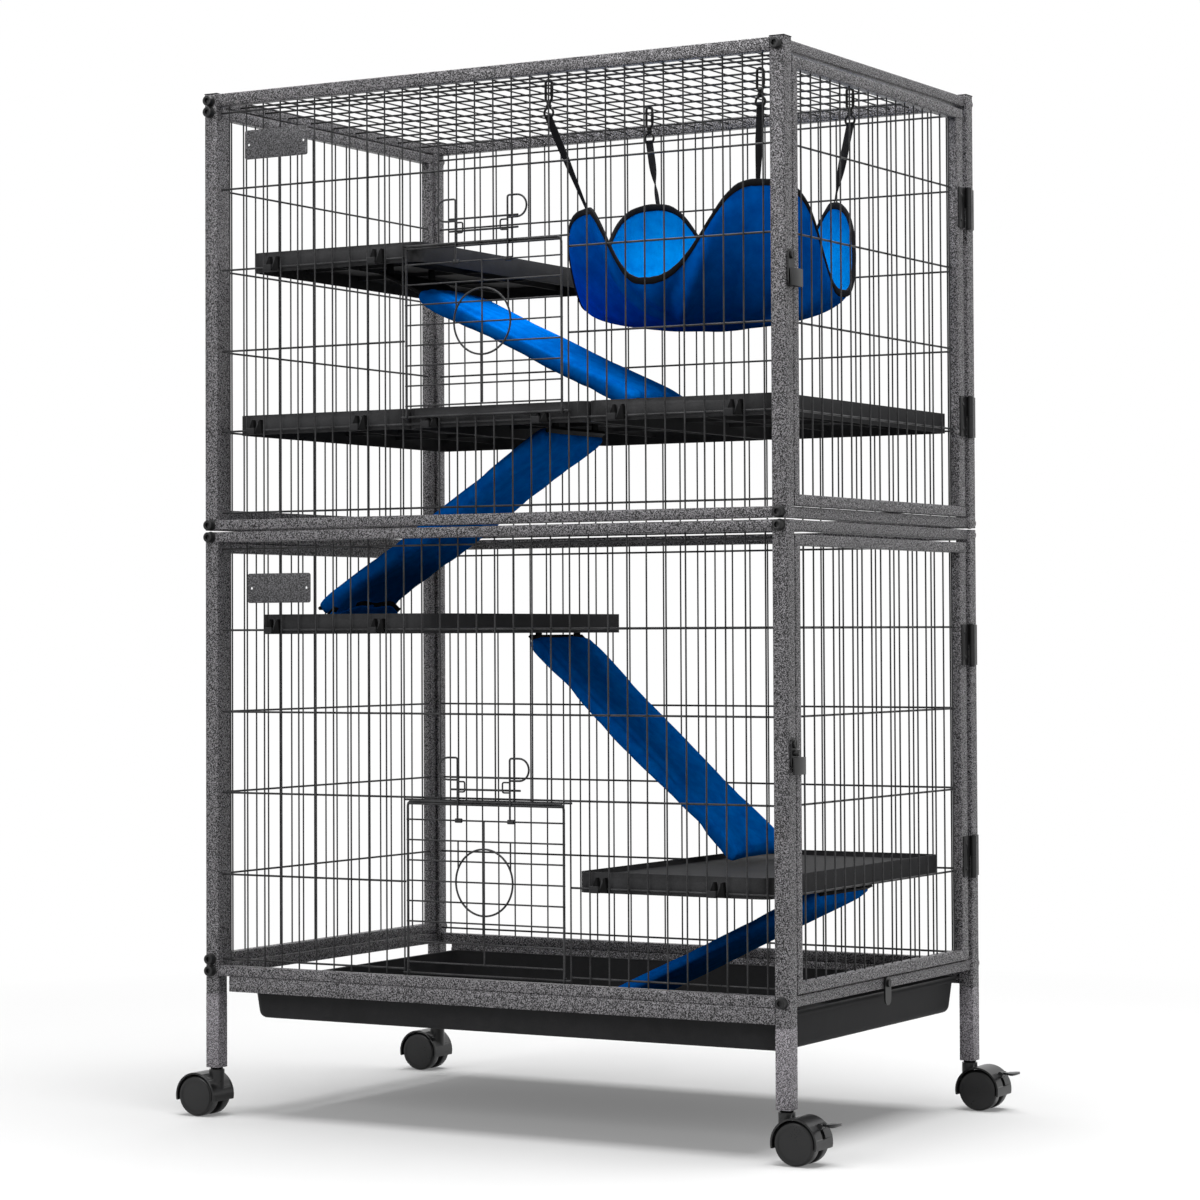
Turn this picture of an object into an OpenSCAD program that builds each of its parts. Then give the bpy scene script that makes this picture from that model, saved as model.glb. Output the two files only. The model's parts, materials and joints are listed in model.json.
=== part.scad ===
// Two-storey small animal cage on twin-wheel casters.
// X runs right along the long front, Y to the back, Z up, millimetres.

/* [Steel frame] */
// Overall width of the posts along the front
cage_w = 800; // [600:1:1000]
// Overall depth of the posts
cage_d = 520; // [400:1:700]
// Top of the post caps
cage_h = 1256.5; // [1000:0.5:1500]
// Square post tube
post_s = 19; // [15:0.5:30]
// Wall of the post and rail tubes
tube_wall = 1.2; // [0.8:0.1:2]
// Square rail tube
rail_s = 12.7; // [10:0.1:20]
// Height where the two storeys meet
split_z = 716; // [500:1:900]
// Bottom of the lower storey posts
lower_z = 150; // [120:1:200]

/* [Wire grilles] */
// Upright wire diameter
wire_d = 2; // [1.5:0.1:3]
// Cross wire diameter
cross_d = 2.5; // [1.5:0.1:3.5]
// Pitch of the upright wires
pitch = 25.4; // [20:0.1:40]

/* [Small drop-down doors] */
// Width between the side rods of a small door
small_w = 214.4; // [150:0.1:260]
// Height of a small door
small_h = 203; // [150:1:260]
// Radius of the wire ring on a small door
ring_r = 39; // [25:1:50]

/* [Shelves] */
// Gap between the three middle shelves
shelf_gap = 2; // [1:0.1:6]
// Reach of the arms behind a shelf
arm_len = 34.5; // [20:0.5:80]
// Shelf wall thickness
shelf_t = 2.6; // [2:0.1:4]

/* [Ramps] */
// Ramp width
ramp_w = 150; // [100:1:200]
// Ramp thickness over the padding
ramp_t = 13; // [8:0.5:25]

/* [Pan] */
// Side play of the pan between its runners
pan_play = 6.1; // [2:0.1:9]
// Pan wall thickness
pan_t = 2.2; // [1.5:0.1:4]

/* [Casters] */
// Caster wheel radius
wheel_r = 25; // [20:1:40]
// Distance from the swivel axis to the axle
trail = 18; // [10:1:30]
// Height from the tops of the wheels to the legs
fork_gap = 9.5; // [8:0.5:30]

/* [Hammock] */
// Thickness of the hammock cloth
cloth_t = 2.4; // [1:0.1:5]

/* [Hidden] */
frame_x = -8.25;
half_w = cage_w / 2;
half_d = cage_d / 2;
px = half_w - post_s / 2;
py = half_d - post_s / 2;
inner_x = half_w - post_s;
inner_y = half_d - post_s;
side_x = half_w - 9;
wire_y = half_d - 9;
weld = (wire_d + cross_d) / 2 * cos(30);
cross_y = wire_y - weld;
leg_z = 2 * wheel_r + fork_gap;
plug = post_s / 2 - tube_wall - 0.1;
leg_half = post_s / 2 - 0.25;
floor_z = lower_z + 22;
sill_z = floor_z + rail_s;
low_top = split_z - 1;
upper_z = split_z + 1;
post_top = cage_h - 1.5;
top_rail_z = cage_h - 17;
function rows(low, high, u) = [for (v = u) low + v / u[5] * (high - low)];
upper_rows = rows(upper_z + rail_s + 8.8, top_rail_z - 7.5, [0, 100, 199, 299, 399, 493.5]);
lower_rows = rows(sill_z + 7.4, low_top - rail_s - 8.3, [0, 103.4, 203.4, 302.4, 402.4, 501.9]);
panel_up = [upper_z + rail_s + 0.05, top_rail_z - 0.5];
panel_low = [sill_z + 1.1, low_top - rail_s - 0.1];
bolt_all = [cage_h - 9.85, upper_z + rail_s / 2, low_top - rail_s / 2, floor_z + 6.05];
bolt_left = [panel_up[1] - rail_s / 2, panel_low[0] + rail_s / 2];
door_up = [upper_z + rail_s + 1, top_rail_z - 4];
door_low = [sill_z + 1.1, low_top - rail_s - 3.7];
hinge_x = half_w + 4.5;
hinge_y = inner_y - 6;
hinge_z = [door_up[1] - 147.6, door_up[0] + 98.8, door_low[1] - 151.1, door_low[0] + 101.7];
lever_z = [door_up[0] + 279.3, door_low[0] + 278.7];
small_z = [upper_rows[1] + 8, lower_rows[0] - 3.6];
shelf_d = cage_d - 21.5 - arm_len;
shelf_w = (2 * inner_x - 20 - 2 * shelf_gap) / 3;
steel = [0.27, 0.27, 0.28];
wire_col = [0.2, 0.2, 0.21];
black = [0.08, 0.08, 0.09];
blue = [0.02, 0.2, 0.6];

// Basic shapes
module placed() translate([frame_x, 0, 0]) children();

module block(x0, x1, y0, y1, z0, z1)
  translate([x0, y0, z0]) cube([x1 - x0, y1 - y0, z1 - z0]);

module wire_along_x(x0, x1, y, z, d, n = 6)
  translate([x0, y, z]) rotate([0, 90, 0]) cylinder(h = x1 - x0, d = d, $fn = n);

module wire_along_y(x, y0, y1, z, d, n = 6)
  translate([x, y0, z]) rotate([-90, 0, 0]) cylinder(h = y1 - y0, d = d, $fn = n);

module wire_along_z(x, y, z0, z1, d, n = 6)
  translate([x, y, z0]) cylinder(h = z1 - z0, d = d, $fn = n);

module tube_along_x(x0, x1, y0, y1, z0, z1, w = tube_wall)
  difference() {
    block(x0, x1, y0, y1, z0, z1);
    block(x0 - 1, x1 + 1, y0 + w, y1 - w, z0 + w, z1 - w);
  }

module tube_along_y(x0, x1, y0, y1, z0, z1, w = tube_wall)
  difference() {
    block(x0, x1, y0, y1, z0, z1);
    block(x0 + w, x1 - w, y0 - 1, y1 + 1, z0 + w, z1 - w);
  }

module tube_along_z(x0, x1, y0, y1, z0, z1, w = tube_wall)
  difference() {
    block(x0, x1, y0, y1, z0, z1);
    block(x0 + w, x1 - w, y0 + w, y1 - w, z0 - 1, z1 + 1);
  }

// Welded front or back frame of one storey, drawn for the front
module post(side, z0, z1, holes)
  difference() {
    tube_along_z(side * px - post_s / 2, side * px + post_s / 2,
      -half_d, -inner_y, z0, z1);
    for (z = holes)
      wire_along_y(side * side_x, -half_d - 1, -inner_y + 1, z, 6.4, 32);
  }

module end_frame(z0, z1, rail_z, holes_left, holes_right) {
  post(-1, z0, z1, holes_left);
  post(1, z0, z1, holes_right);
  for (r = rail_z)
    tube_along_x(-inner_x, inner_x, -half_d, -half_d + rail_s, r[0], r[1]);
}

module upper_frame()
  end_frame(upper_z, post_top, [[top_rail_z, post_top], [upper_z, upper_z + rail_s]],
    [bolt_all[0], bolt_left[0], bolt_all[1]], [bolt_all[0], bolt_all[1]]);

module lower_frame()
  end_frame(lower_z, low_top, [[low_top - rail_s, low_top], [floor_z, sill_z]],
    [bolt_all[2], bolt_left[1], bolt_all[3]], [bolt_all[2], bolt_all[3]]);

module upper_front_frame() color(steel) placed() upper_frame();
module lower_front_frame() color(steel) placed() lower_frame();
module upper_back_frame() color(steel) placed() mirror([0, 1, 0]) upper_frame();
module lower_back_frame() color(steel) placed() mirror([0, 1, 0]) lower_frame();

// Wire grilles welded into the frames; a doorway is left where a small door hangs
function in_way(k, half) = abs((k + 0.5) * pitch) < half;

module uprights(z0, z1, door_z = undef) {
  top = is_undef(door_z) ? 0 : door_z + small_h + 1.2;
  for (k = [for (i = [-24:23]) if (in_way(i, inner_x - 5)) i])
    if (is_undef(door_z) || !in_way(k, small_w / 2))
      wire_along_z((k + 0.5) * pitch, -wire_y, z0, z1, wire_d);
    else {
      wire_along_z((k + 0.5) * pitch, -wire_y, top - 1, z1, wire_d);
      if (door_z - z0 > 10)
        wire_along_z((k + 0.5) * pitch, -wire_y, z0, door_z + 1, wire_d);
    }
}

module cross_wires(z0, rows, door_z = undef) {
  top = is_undef(door_z) ? 0 : door_z + small_h + 1.2;
  side = small_w / 2 + 6.4;
  for (z = rows)
    if (is_undef(door_z) || z < door_z || z > top)
      wire_along_x(-inner_x, inner_x, -cross_y, z, cross_d);
    else
      for (s = [-1, 1])
        wire_along_x(s > 0 ? side : -inner_x, s > 0 ? inner_x : -side, -cross_y, z, cross_d);
  if (!is_undef(door_z)) {
    wire_along_x(-side - 1.4, side + 1.4, -cross_y, top, cross_d);
    if (door_z - z0 > 10)
      wire_along_x(-side - 1.4, side + 1.4, -cross_y, door_z, cross_d);
    wire_along_x(-side - 1.4, side + 1.4, -wire_y - 2.1, door_z, cross_d, 32);
    for (z = [door_z + small_h + 14.5, door_z + small_h + 29])
      wire_along_x(-48, 48, -wire_y - weld, z, cross_d);
  }
}

module front_uprights()
  color(wire_col) placed() {
    uprights(upper_z + rail_s, top_rail_z, small_z[0]);
    uprights(sill_z, low_top - rail_s, small_z[1]);
  }
module front_cross_wires()
  color(wire_col) placed() {
    cross_wires(upper_z + rail_s, upper_rows, small_z[0]);
    cross_wires(sill_z, lower_rows, small_z[1]);
  }
module back_grille(z0, z1, rows)
  mirror([0, 1, 0]) {
    uprights(z0, z1);
    translate([0, -0.1, 0]) cross_wires(z0, rows);
  }
module upper_back_grille()
  color(wire_col) placed() back_grille(upper_z + rail_s, top_rail_z, upper_rows);
module lower_back_grille()
  color(wire_col) placed() back_grille(sill_z, low_top - rail_s, lower_rows);

// Side rails bolted between the front and back frames
module side_rail(s, z) {
  h = rail_s / 2;
  tube_along_y(s * side_x - h, s * side_x + h, -inner_y, inner_y, z - h, z + h);
  for (e = [-1, 1])
    difference() {
      block(s * side_x - h + 1, s * side_x + h - 1, e > 0 ? inner_y - 14 : -inner_y,
        e > 0 ? inner_y : -inner_y + 14, z - h + 1, z + h - 1);
      wire_along_y(s * side_x, -half_d, half_d, z, 6, 32);
    }
}

module side_rails()
  color(steel) placed()
    for (s = [-1, 1], z = bolt_all) side_rail(s, z);

// Fixed wire panels in the left side
module left_panel(z0, z1, rows, plug_z) {
  x0 = -side_x - rail_s / 2;
  x1 = -side_x + rail_s / 2;
  for (z = [z0, z1 - rail_s])
    tube_along_y(x0, x1, -inner_y, inner_y, z, z + rail_s);
  for (e = [-1, 1]) {
    y0 = e > 0 ? inner_y - rail_s : -inner_y;
    tube_along_z(x0, x1, y0, y0 + rail_s, z0 + rail_s, z1 - rail_s);
    difference() {
      block(x0 + 1, x1 - 1, e > 0 ? inner_y - 14 : -inner_y,
        e > 0 ? inner_y : -inner_y + 14, plug_z - 5.3, plug_z + 5.3);
      wire_along_y(-side_x, -half_d, half_d, plug_z, 6, 32);
    }
  }
  for (k = [-14:13])
    if (in_way(k, inner_y - rail_s))
      wire_along_z(-side_x, (k + 0.5) * pitch, z0 + rail_s, z1 - rail_s, wire_d);
  for (z = rows)
    if (z > z0 + rail_s + 2 && z < z1 - rail_s - 2)
      wire_along_y(-side_x + 2.1, -inner_y + rail_s, inner_y - rail_s, z, cross_d);
}

module left_panel_upper()
  color(steel) placed() left_panel(panel_up[0], panel_up[1], upper_rows, bolt_left[0]);
module left_panel_lower()
  color(steel) placed() left_panel(panel_low[0], panel_low[1], lower_rows, bolt_left[1]);

// Top mesh between the top rails
module top_mesh()
  color(wire_col) placed() {
    y = half_d - rail_s;
    for (k = [-24:23])
      if (in_way(k, inner_x - 5))
        wire_along_y((k + 0.5) * pitch, -y, y, cage_h - 9.5, wire_d);
    for (k = [-8:8])
      if (abs(k * 2 * pitch) < y - 5)
        wire_along_x(-side_x + rail_s / 2, side_x - rail_s / 2, k * 2 * pitch, cage_h - 11.5,
          cross_d);
  }

// Post caps, bolts and legs
module post_caps()
  color(black) placed()
    for (s = [-1, 1], t = [-1, 1]) translate([s * px, t * py, 0]) {
      block(-post_s / 2, post_s / 2, -post_s / 2, post_s / 2, post_top, cage_h);
      block(-plug, plug, -plug, plug, post_top - 1.9, post_top);
    }

module bolt(x, z, s) {
  f = half_d;
  translate([x, -f, z]) rotate([90, 0, 0]) {
    cylinder(h = 1.2, d = 13.9, $fn = 40);
    difference() {
      translate([0, 0, 1.2]) cylinder(h = 6.8, d = 12.2, $fn = 40);
      translate([0, 0, 4]) cylinder(h = 5, d = 6.9, $fn = 6);
    }
    translate([0, 0, -post_s - 12]) cylinder(h = post_s + 12, d = 6, $fn = 32);
  }
}

module frame_bolts()
  color(black) placed()
    for (m = [0, 1]) mirror([0, m, 0]) {
      for (z = bolt_all, s = [-1, 1]) bolt(s * side_x, z, s);
      for (z = bolt_left) bolt(-side_x, z, -1);
    }

module legs()
  color(steel) placed()
    for (s = [-1, 1], t = [-1, 1]) translate([s * px, t * py, 0])
      difference() {
        union() {
          tube_along_z(-leg_half, leg_half, -leg_half, leg_half, leg_z, lower_z);
          tube_along_z(-plug, plug, -plug, plug, lower_z - 30, lower_z + 55, 1.1);
        }
        for (z = [bolt_all[3], bolt_left[1]])
          wire_along_y(s * (side_x - px), -12, 12, z, 6.4, 32);
      }

// Runners that carry the pan
module runner() {
  f = half_d;
  x0 = -inner_x + 16;
  tube_along_x(x0, inner_x, -f, -f + rail_s, floor_z - 18.5, floor_z);
  block(x0, inner_x, -f + rail_s, -f + rail_s + 10.8, floor_z - 12.6, floor_z - 11.1);
  block(x0, inner_x, -f + rail_s, -f + rail_s + tube_wall, floor_z - 11.1, floor_z - 6);
}

module pan_runners()
  color(steel) placed() for (m = [0, 1]) mirror([0, m, 0]) runner();

// Moulded shelf: floor with a raised lip, skirt, ribs, front clips and back arms
module round_slab(x0, x1, y0, y1, z0, z1, r)
  translate([0, 0, z0]) linear_extrude(z1 - z0) union() {
    translate([x0 + r, y0]) square([x1 - x0 - 2 * r, y1 - y0]);
    translate([x0, y0 + r]) square([x1 - x0, y1 - y0 - 2 * r]);
    for (x = [x0 + r, x1 - r], y = [y0 + r, y1 - r])
      translate([x, y]) circle(r = r, $fn = 32);
  }

module clip(x, z, tip) {
  for (s = [-1, 1])
    difference() {
      translate([x + s * 3.9, -half_d + 13.5, z]) rotate([90, 0, 0]) linear_extrude(6)
        polygon([[-3.5, -2], [3.5, -2], [0.4, tip], [-0.4, tip]]);
      block(x - 10, x + 10, -cross_y - 1.45, -cross_y + 1.35, z - 5, z + cross_d / 2 + 0.15);
    }
}

module shelf(x0, zw, tip = 12) {
  y0 = -half_d + 13.5;
  hook = pitch * round((x0 + 32) / pitch);
  x1 = x0 + shelf_w;
  y1 = y0 + shelf_d;
  t = shelf_t;
  difference() {
    round_slab(x0, x1, y0, y1, zw - 5, zw + 19, 12);
    round_slab(x0 + t, x1 - t, y0 + t, y1 - t, zw + 13, zw + 20, 10);
    round_slab(x0 + t, x1 - t, y0 + t, y1 - t, zw - 6, zw + 13 - t, 10);
  }
  for (k = [1:3])
    block(x0 + t, x1 - t, y0 + k * shelf_d / 4 - 1.1, y0 + k * shelf_d / 4 + 1.1,
      zw + 5.4, zw + 13 - t);
  for (k = [1:2])
    block(x0 + k * shelf_w / 3 - 1.1, x0 + k * shelf_w / 3 + 1.1, y0 + t, y1 - t,
      zw + 3.4, zw + 13 - t);
  for (x = [hook, hook + 6 * pitch]) {
    clip(x, zw, tip);
    difference() {
      block(x - 5, x + 5, y1 - t, half_d - 8, zw + 1, zw + 9);
      block(x - 6, x + 6, cross_y - 1.35, cross_y + 1.45, zw, zw + cross_d / 2 + 0.15);
    }
    block(x - 5, x + 5, cross_y + 1.5, half_d - 8, zw - 2, zw + 1.1);
  }
}

// Left edge and wire height of each shelf
at_top_left = [-inner_x + 42, upper_rows[3]];
at_mid_left = [-inner_x + 22, upper_rows[1]];
at_mid_centre = [at_mid_left[0] + shelf_w + shelf_gap, upper_rows[1]];
at_mid_right = [inner_x + 1.5 - shelf_w, upper_rows[1]];
at_low_left = [-inner_x + 54, lower_rows[4]];
at_low_right = [inner_x - 14 - shelf_w, lower_rows[1]];

module shelf_top_left() color(black) placed() shelf(at_top_left[0], at_top_left[1]);
module shelf_mid_left() color(black) placed() shelf(at_mid_left[0], at_mid_left[1]);
module shelf_mid_centre() color(black) placed() shelf(at_mid_centre[0], at_mid_centre[1], 6);
module shelf_mid_right() color(black) placed() shelf(at_mid_right[0], at_mid_right[1]);
module shelf_low_left() color(black) placed() shelf(at_low_left[0], at_low_left[1]);
module shelf_low_right() color(black) placed() shelf(at_low_right[0], at_low_right[1]);

// Ramps: a padded cloth sleeve over a board that hooks under a shelf.
// Head x, head z, foot x, foot z, near side y
ramp_1 = [at_top_left[0] + 148, at_top_left[1] - 2.2,
  at_mid_right[0] + 34.5, at_mid_right[1] + 26, -185];
ramp_2 = [at_mid_centre[0] + 148, at_mid_centre[1] - 2.5,
  at_low_left[0] + 27, at_low_left[1] + 27, -185];
ramp_3 = [at_low_left[0] + shelf_w - 3, at_low_left[1] - 6.9,
  at_low_right[0] + 90, at_low_right[1] + 25.5, -10];
ramp_4 = [at_low_right[0] + shelf_w - 27, at_low_right[1] - 5.7, 25, floor_z - 34, -75];

function ramp_len(r) = sqrt(pow(r[2] - r[0], 2) + pow(r[1] - r[3], 2));

module ramp_frame(r) {
  a = atan2(r[1] - r[3], r[2] - r[0]);
  translate([r[0], r[4], r[1]]) rotate([0, a, 0])
    mirror([0, 0, a > 90 ? 1 : 0]) children();
}

// Ring of the sleeve at a share u of the length and an angle a around it
function fold(u, a) = 0.8 * sin(1080 * u + 2 * a) * sin(180 * u) + 0.5 * sin(2200 * u - a);
function ring_pt(u, a, len) = [
  u * len,
  ramp_w / 2 + sign(cos(a)) * (ramp_w / 2 - 0.8 + 0.8 * sin(900 * u)) * pow(abs(cos(a)), 0.32),
  -ramp_t / 2 + sign(sin(a)) * (ramp_t / 2 - 0.8) * pow(abs(sin(a)), 0.7)
    + (abs(sin(a)) > 0.5 ? fold(u, a) * sign(sin(a)) * 0.6 : 0)
    - (sin(a) < -0.3 ? 1.6 * sin(180 * u) : 0)];

module sleeve(r) {
  len = ramp_len(r);
  n = 24;
  m = 20;
  pts = [for (i = [0:n]) for (j = [0:m - 1]) ring_pt(i / n, 360 * (j + 0.5) / m, len)];
  sides = [for (i = [0:n - 1]) for (j = [0:m - 1]) for (k = [0, 1])
    k == 0 ? [i * m + j, i * m + (j + 1) % m, (i + 1) * m + (j + 1) % m]
           : [i * m + j, (i + 1) * m + (j + 1) % m, (i + 1) * m + j]];
  caps = [[for (j = [m - 1:-1:0]) j], [for (j = [0:m - 1]) n * m + j]];
  difference() {
    polyhedron(points = pts, faces = concat(sides, caps));
    block(-5.05, len - 7.95, 9.95, ramp_w - 9.95, -ramp_t / 2 - 2.05, -ramp_t / 2 + 2.05);
  }
}

module ramp_cover_1() color(blue) placed() ramp_frame(ramp_1) sleeve(ramp_1);
module ramp_cover_2() color(blue) placed() ramp_frame(ramp_2) sleeve(ramp_2);
module ramp_cover_3() color(blue) placed() ramp_frame(ramp_3) sleeve(ramp_3);
module ramp_cover_4() color(blue) placed() ramp_frame(ramp_4) sleeve(ramp_4);

module board(r, floor_z) {
  s = r[2] > r[0] ? 1 : -1;
  x = r[0] - s * (4.6 * (r[1] - r[3]) / ramp_len(r) + 1.2);
  ramp_frame(r)
    block(-5, ramp_len(r) - 8, 10, ramp_w - 10, -ramp_t / 2 - 2, -ramp_t / 2 + 2);
  for (y = [r[4] + 22, r[4] + ramp_w - 34])
    block(x - 1.2, x + 1.2, y, y + 12, r[1] - 5.5, floor_z);
}

module ramp_boards()
  color(black) placed() {
    board(ramp_1, at_top_left[1] + 13 - shelf_t);
    board(ramp_2, at_mid_centre[1] + 13 - shelf_t);
    board(ramp_3, at_low_left[1] + 13 - shelf_t);
    board(ramp_4, at_low_right[1] + 13 - shelf_t);
  }

// Hammock cloth: a bowl between four raised, rounded lobes.
// The rim dips between the lobes; s runs across the cage and t to the back, both from -1.13 to 1.13
peaks = [[80, -145, cage_h - 163.5], [287, -108, cage_h - 138.5],
  [304, 60, cage_h - 149.5], [62, 62, cage_h - 134.5]];
bowl_z = cage_h - 303.5;
function mix(a, b, k) = a * (1 - k) + b * k;
function quad(s, t) = mix(mix(peaks[0], peaks[1], (s + 1) / 2),
  mix(peaks[3], peaks[2], (s + 1) / 2), (t + 1) / 2);
function rise(x, n) = let (v = min(1, abs(x))) pow(v * v * (3 - 2 * v), n);
function left(x) = 1 - min(1, x * x);
function swell(x) = 1 - min(1, pow(x, 6));
function rim_st(a) =
  1.13 / pow(pow(abs(cos(a)), 4.76) + pow(abs(sin(a)), 4.76), 1 / 4.76) * [cos(a), sin(a)];
function rim_z(s, t, q) =
  let (k = pow(t, 6) / (pow(s, 6) + pow(t, 6)),
       end = bowl_z + (t < 0 ? 51 : 60),
       side = bowl_z + (s < 0 ? 36 : 40),
       ends = end + (q - end) * rise(s + (t < 0 ? 0.17 : 0) * left(s), t < 0 ? 1.55 + 0.8 * s : 1.5),
       sides = side + (q - side) * rise(t - (s > 0 ? 0.25 : -0.1) * left(t), s > 0 ? 1.6 : 1))
  ends * k + sides * (1 - k);
function rim_pt(a) =
  let (v = rim_st(a), s = v[0], t = v[1], q = quad(s, t))
  [q[0] + 30 * s * swell(t), q[1] + 18 * t * swell(s), rim_z(s, t, q[2])];
function cloth_pt(rho, a) =
  let (c = quad(0, 0), r = rim_pt(a), k = pow(sin(90 * rho), 0.92),
       h = pow(1 - cos(90 * rho), 1.05))
  [mix(c[0], r[0], k), mix(c[1], r[1], k), bowl_z + (r[2] - bowl_z) * h];
function unit(v) = v / norm(v);
function cloth_n(rho, a) =
  let (u = cloth_pt(rho * 1.02, a) - cloth_pt(rho * 0.98, a),
       v = cloth_pt(rho, a + 1) - cloth_pt(rho, a - 1))
  unit(cross(u, v));

module hammock()
  color(blue) placed() {
    rings = 9;
    m = 60;
    top = [for (i = [1:rings]) for (j = [0:m - 1])
      cloth_pt(i / rings, j * 360 / m) + cloth_n(i / rings, j * 360 / m) * cloth_t / 2];
    low = [for (i = [1:rings]) for (j = [0:m - 1])
      cloth_pt(i / rings, j * 360 / m) - cloth_n(i / rings, j * 360 / m) * cloth_t / 2];
    c = cloth_pt(0, 0);
    pts = concat(top, low, [c + [0, 0, cloth_t / 2], c - [0, 0, cloth_t / 2]]);
    w = rings * m;
    skin = [for (i = [0:rings - 2]) for (j = [0:m - 1]) let (k = (j + 1) % m)
      [i * m + j, i * m + k, (i + 1) * m + k, (i + 1) * m + j]];
    up = [for (f = skin) for (k = [0, 1])
      k == 0 ? [f[0], f[1], f[2]] : [f[0], f[2], f[3]]];
    down = [for (f = up) [f[0] + w, f[2] + w, f[1] + w]];
    e = (rings - 1) * m;
    hem = [for (j = [0:m - 1]) for (k = [0, 1]) let (h = (j + 1) % m)
      k == 0 ? [e + j, e + h, e + w + h] : [e + j, e + w + h, e + w + j]];
    fan = [for (j = [0:m - 1]) for (k = [0, 1]) let (h = (j + 1) % m)
      k == 0 ? [2 * w, h, j] : [2 * w + 1, w + j, w + h]];
    polyhedron(points = pts, faces = concat(up, down, hem, fan));
  }

// Straps from the swivel rings to the corners of the cloth, and their snap hooks
hang = [[1.5 * pitch, -165], [11.5 * pitch, -108], [12.5 * pitch, 80], [1.5 * pitch, 82]];
strap_lift = [-0.6, -0.66, -1.4, -0.8];
function corner_pt(i) = cloth_pt(1, [225, 315, 45, 135][i]);

module strap(p, q, w, t) {
  d = q - p;
  translate(p) rotate([0, 0, atan2(d[1], d[0])])
    rotate([0, 90 - atan2(d[2], norm([d[0], d[1]])), 0])
      translate([-t / 2, -w / 2, 0]) cube([t, w, norm(d)]);
}

module hammock_straps()
  color(black) placed()
    for (i = [0:3])
      strap(corner_pt(i) + [0, 0, strap_lift[i]], [hang[i][0], hang[i][1], cage_h - 54.2],
        10, 1.6);

module link(r_out, r_in, half, t)
  translate([0, t / 2, 0]) rotate([90, 0, 0]) linear_extrude(t) difference() {
    union() {
      for (s = [-1, 1]) translate([0, s * half]) circle(r = r_out, $fn = 32);
      translate([-r_out, -half]) square([2 * r_out, 2 * half]);
    }
    union() {
      for (s = [-1, 1]) translate([0, s * half]) circle(r = r_in, $fn = 32);
      translate([-r_in, -half]) square([2 * r_in, 2 * half]);
    }
  }

module hammock_hooks()
  color(black) placed()
    for (h = hang) translate([h[0], h[1], 0]) {
      translate([0, 0, cage_h - 20.4]) link(5.2, 3.2, 8.7, 2.4);
      wire_along_z(0, 0, cage_h - 40.5, cage_h - 32.3, 5, 32);
      translate([0, 0, cage_h - 47]) link(7.2, 5, 0.01, 2.4);
    }

// Bare name plates on the front wires
module name_plates()
  color(steel) placed()
    for (p = [[-inner_x + 37, cage_h - 85], [-inner_x + 40, low_top - 87.5]])
      difference() {
        translate([p[0], -wire_y - 0.866, p[1]]) rotate([90, 0, 0])
          linear_extrude(1) union() {
            translate([3, 0]) square([87, 36]);
            translate([0, 3]) square([93, 30]);
            for (x = [3, 90], z = [3, 33]) translate([x, z]) circle(r = 3, $fn = 24);
          }
        for (x = [6, 87])
          wire_along_y(p[0] + x, -wire_y - 3, -wire_y, p[1] + 18, 3.2, 24);
      }

// Butt hinges of the side doors
module knuckle(z0, z1)
  difference() {
    wire_along_z(hinge_x, hinge_y, z0, z1, 8, 40);
    wire_along_z(hinge_x, hinge_y, z0 - 1, z1 + 1, 4.1, 32);
  }

module leaf(z, s) {
  y = hinge_y;
  difference() {
    union() {
      block(half_w, half_w + 1.6, s > 0 ? y + 5 : y - 21.5, s > 0 ? y + 23 : y - 5, z, z + 50);
      difference() {
        block(half_w, half_w + 1.6, s > 0 ? y : y - 5, s > 0 ? y + 5 : y,
          s > 0 ? z : z + 25.2, s > 0 ? z + 24.8 : z + 50);
        wire_along_z(hinge_x, hinge_y, z - 1, z + 51, 4.1, 32);
      }
      knuckle(s > 0 ? z : z + 25.2, s > 0 ? z + 24.8 : z + 50);
    }
    for (h = [10, 40])
      translate([half_w - 1, y + s * 14, z + h]) rotate([0, 90, 0])
        cylinder(h = 4, d = 4, $fn = 24);
  }
  for (h = [10, 40])
    translate([half_w, y + s * 14, z + h]) rotate([0, 90, 0])
      cylinder(h = 2.6, d = 4, $fn = 24);
}

module hinge_post_leaves()
  color(black) placed() for (z = hinge_z) leaf(z, 1);
module hinge_pins()
  color(black) placed()
    for (z = hinge_z) {
      wire_along_z(hinge_x, hinge_y, z, z + 51, 4, 32);
      wire_along_z(hinge_x, hinge_y, z - 2, z, 7, 32);
    }

// Framed wire doors in the right side
module side_door(z, rows) {
  x0 = half_w - rail_s;
  front = -inner_y + 1.5;
  back = inner_y - 12;
  low = z[0] + rail_s;
  high = z[1] - rail_s;
  tube_along_y(x0, half_w, front, back, z[0], low);
  tube_along_y(x0, half_w, front, back, high, z[1]);
  tube_along_z(x0, half_w, front, front + rail_s, low, high);
  tube_along_z(x0, half_w, back - 19, back, low, high);
  for (k = [-14:13])
    if ((k + 0.85) * pitch > front + rail_s && (k + 0.85) * pitch < back - 19)
      wire_along_z(half_w - rail_s / 2, (k + 0.85) * pitch, low, high, wire_d);
  for (r = rows)
    if (r > low + 2 && r < high - 2)
      wire_along_y(half_w - rail_s / 2 - 2.15, front + rail_s, back - 19, r, cross_d);
}

module keeper(z0, z1) {
  block(half_w, half_w + 1.5, -inner_y + 2.4, -inner_y + 12, z0, z1);
  block(half_w + 1.5, half_w + 5, -inner_y + 10.4, -inner_y + 12, z0, z1);
  block(half_w + 4.9, half_w + 6.4, -inner_y - 17, -inner_y + 12, z0, z1);
}

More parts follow.
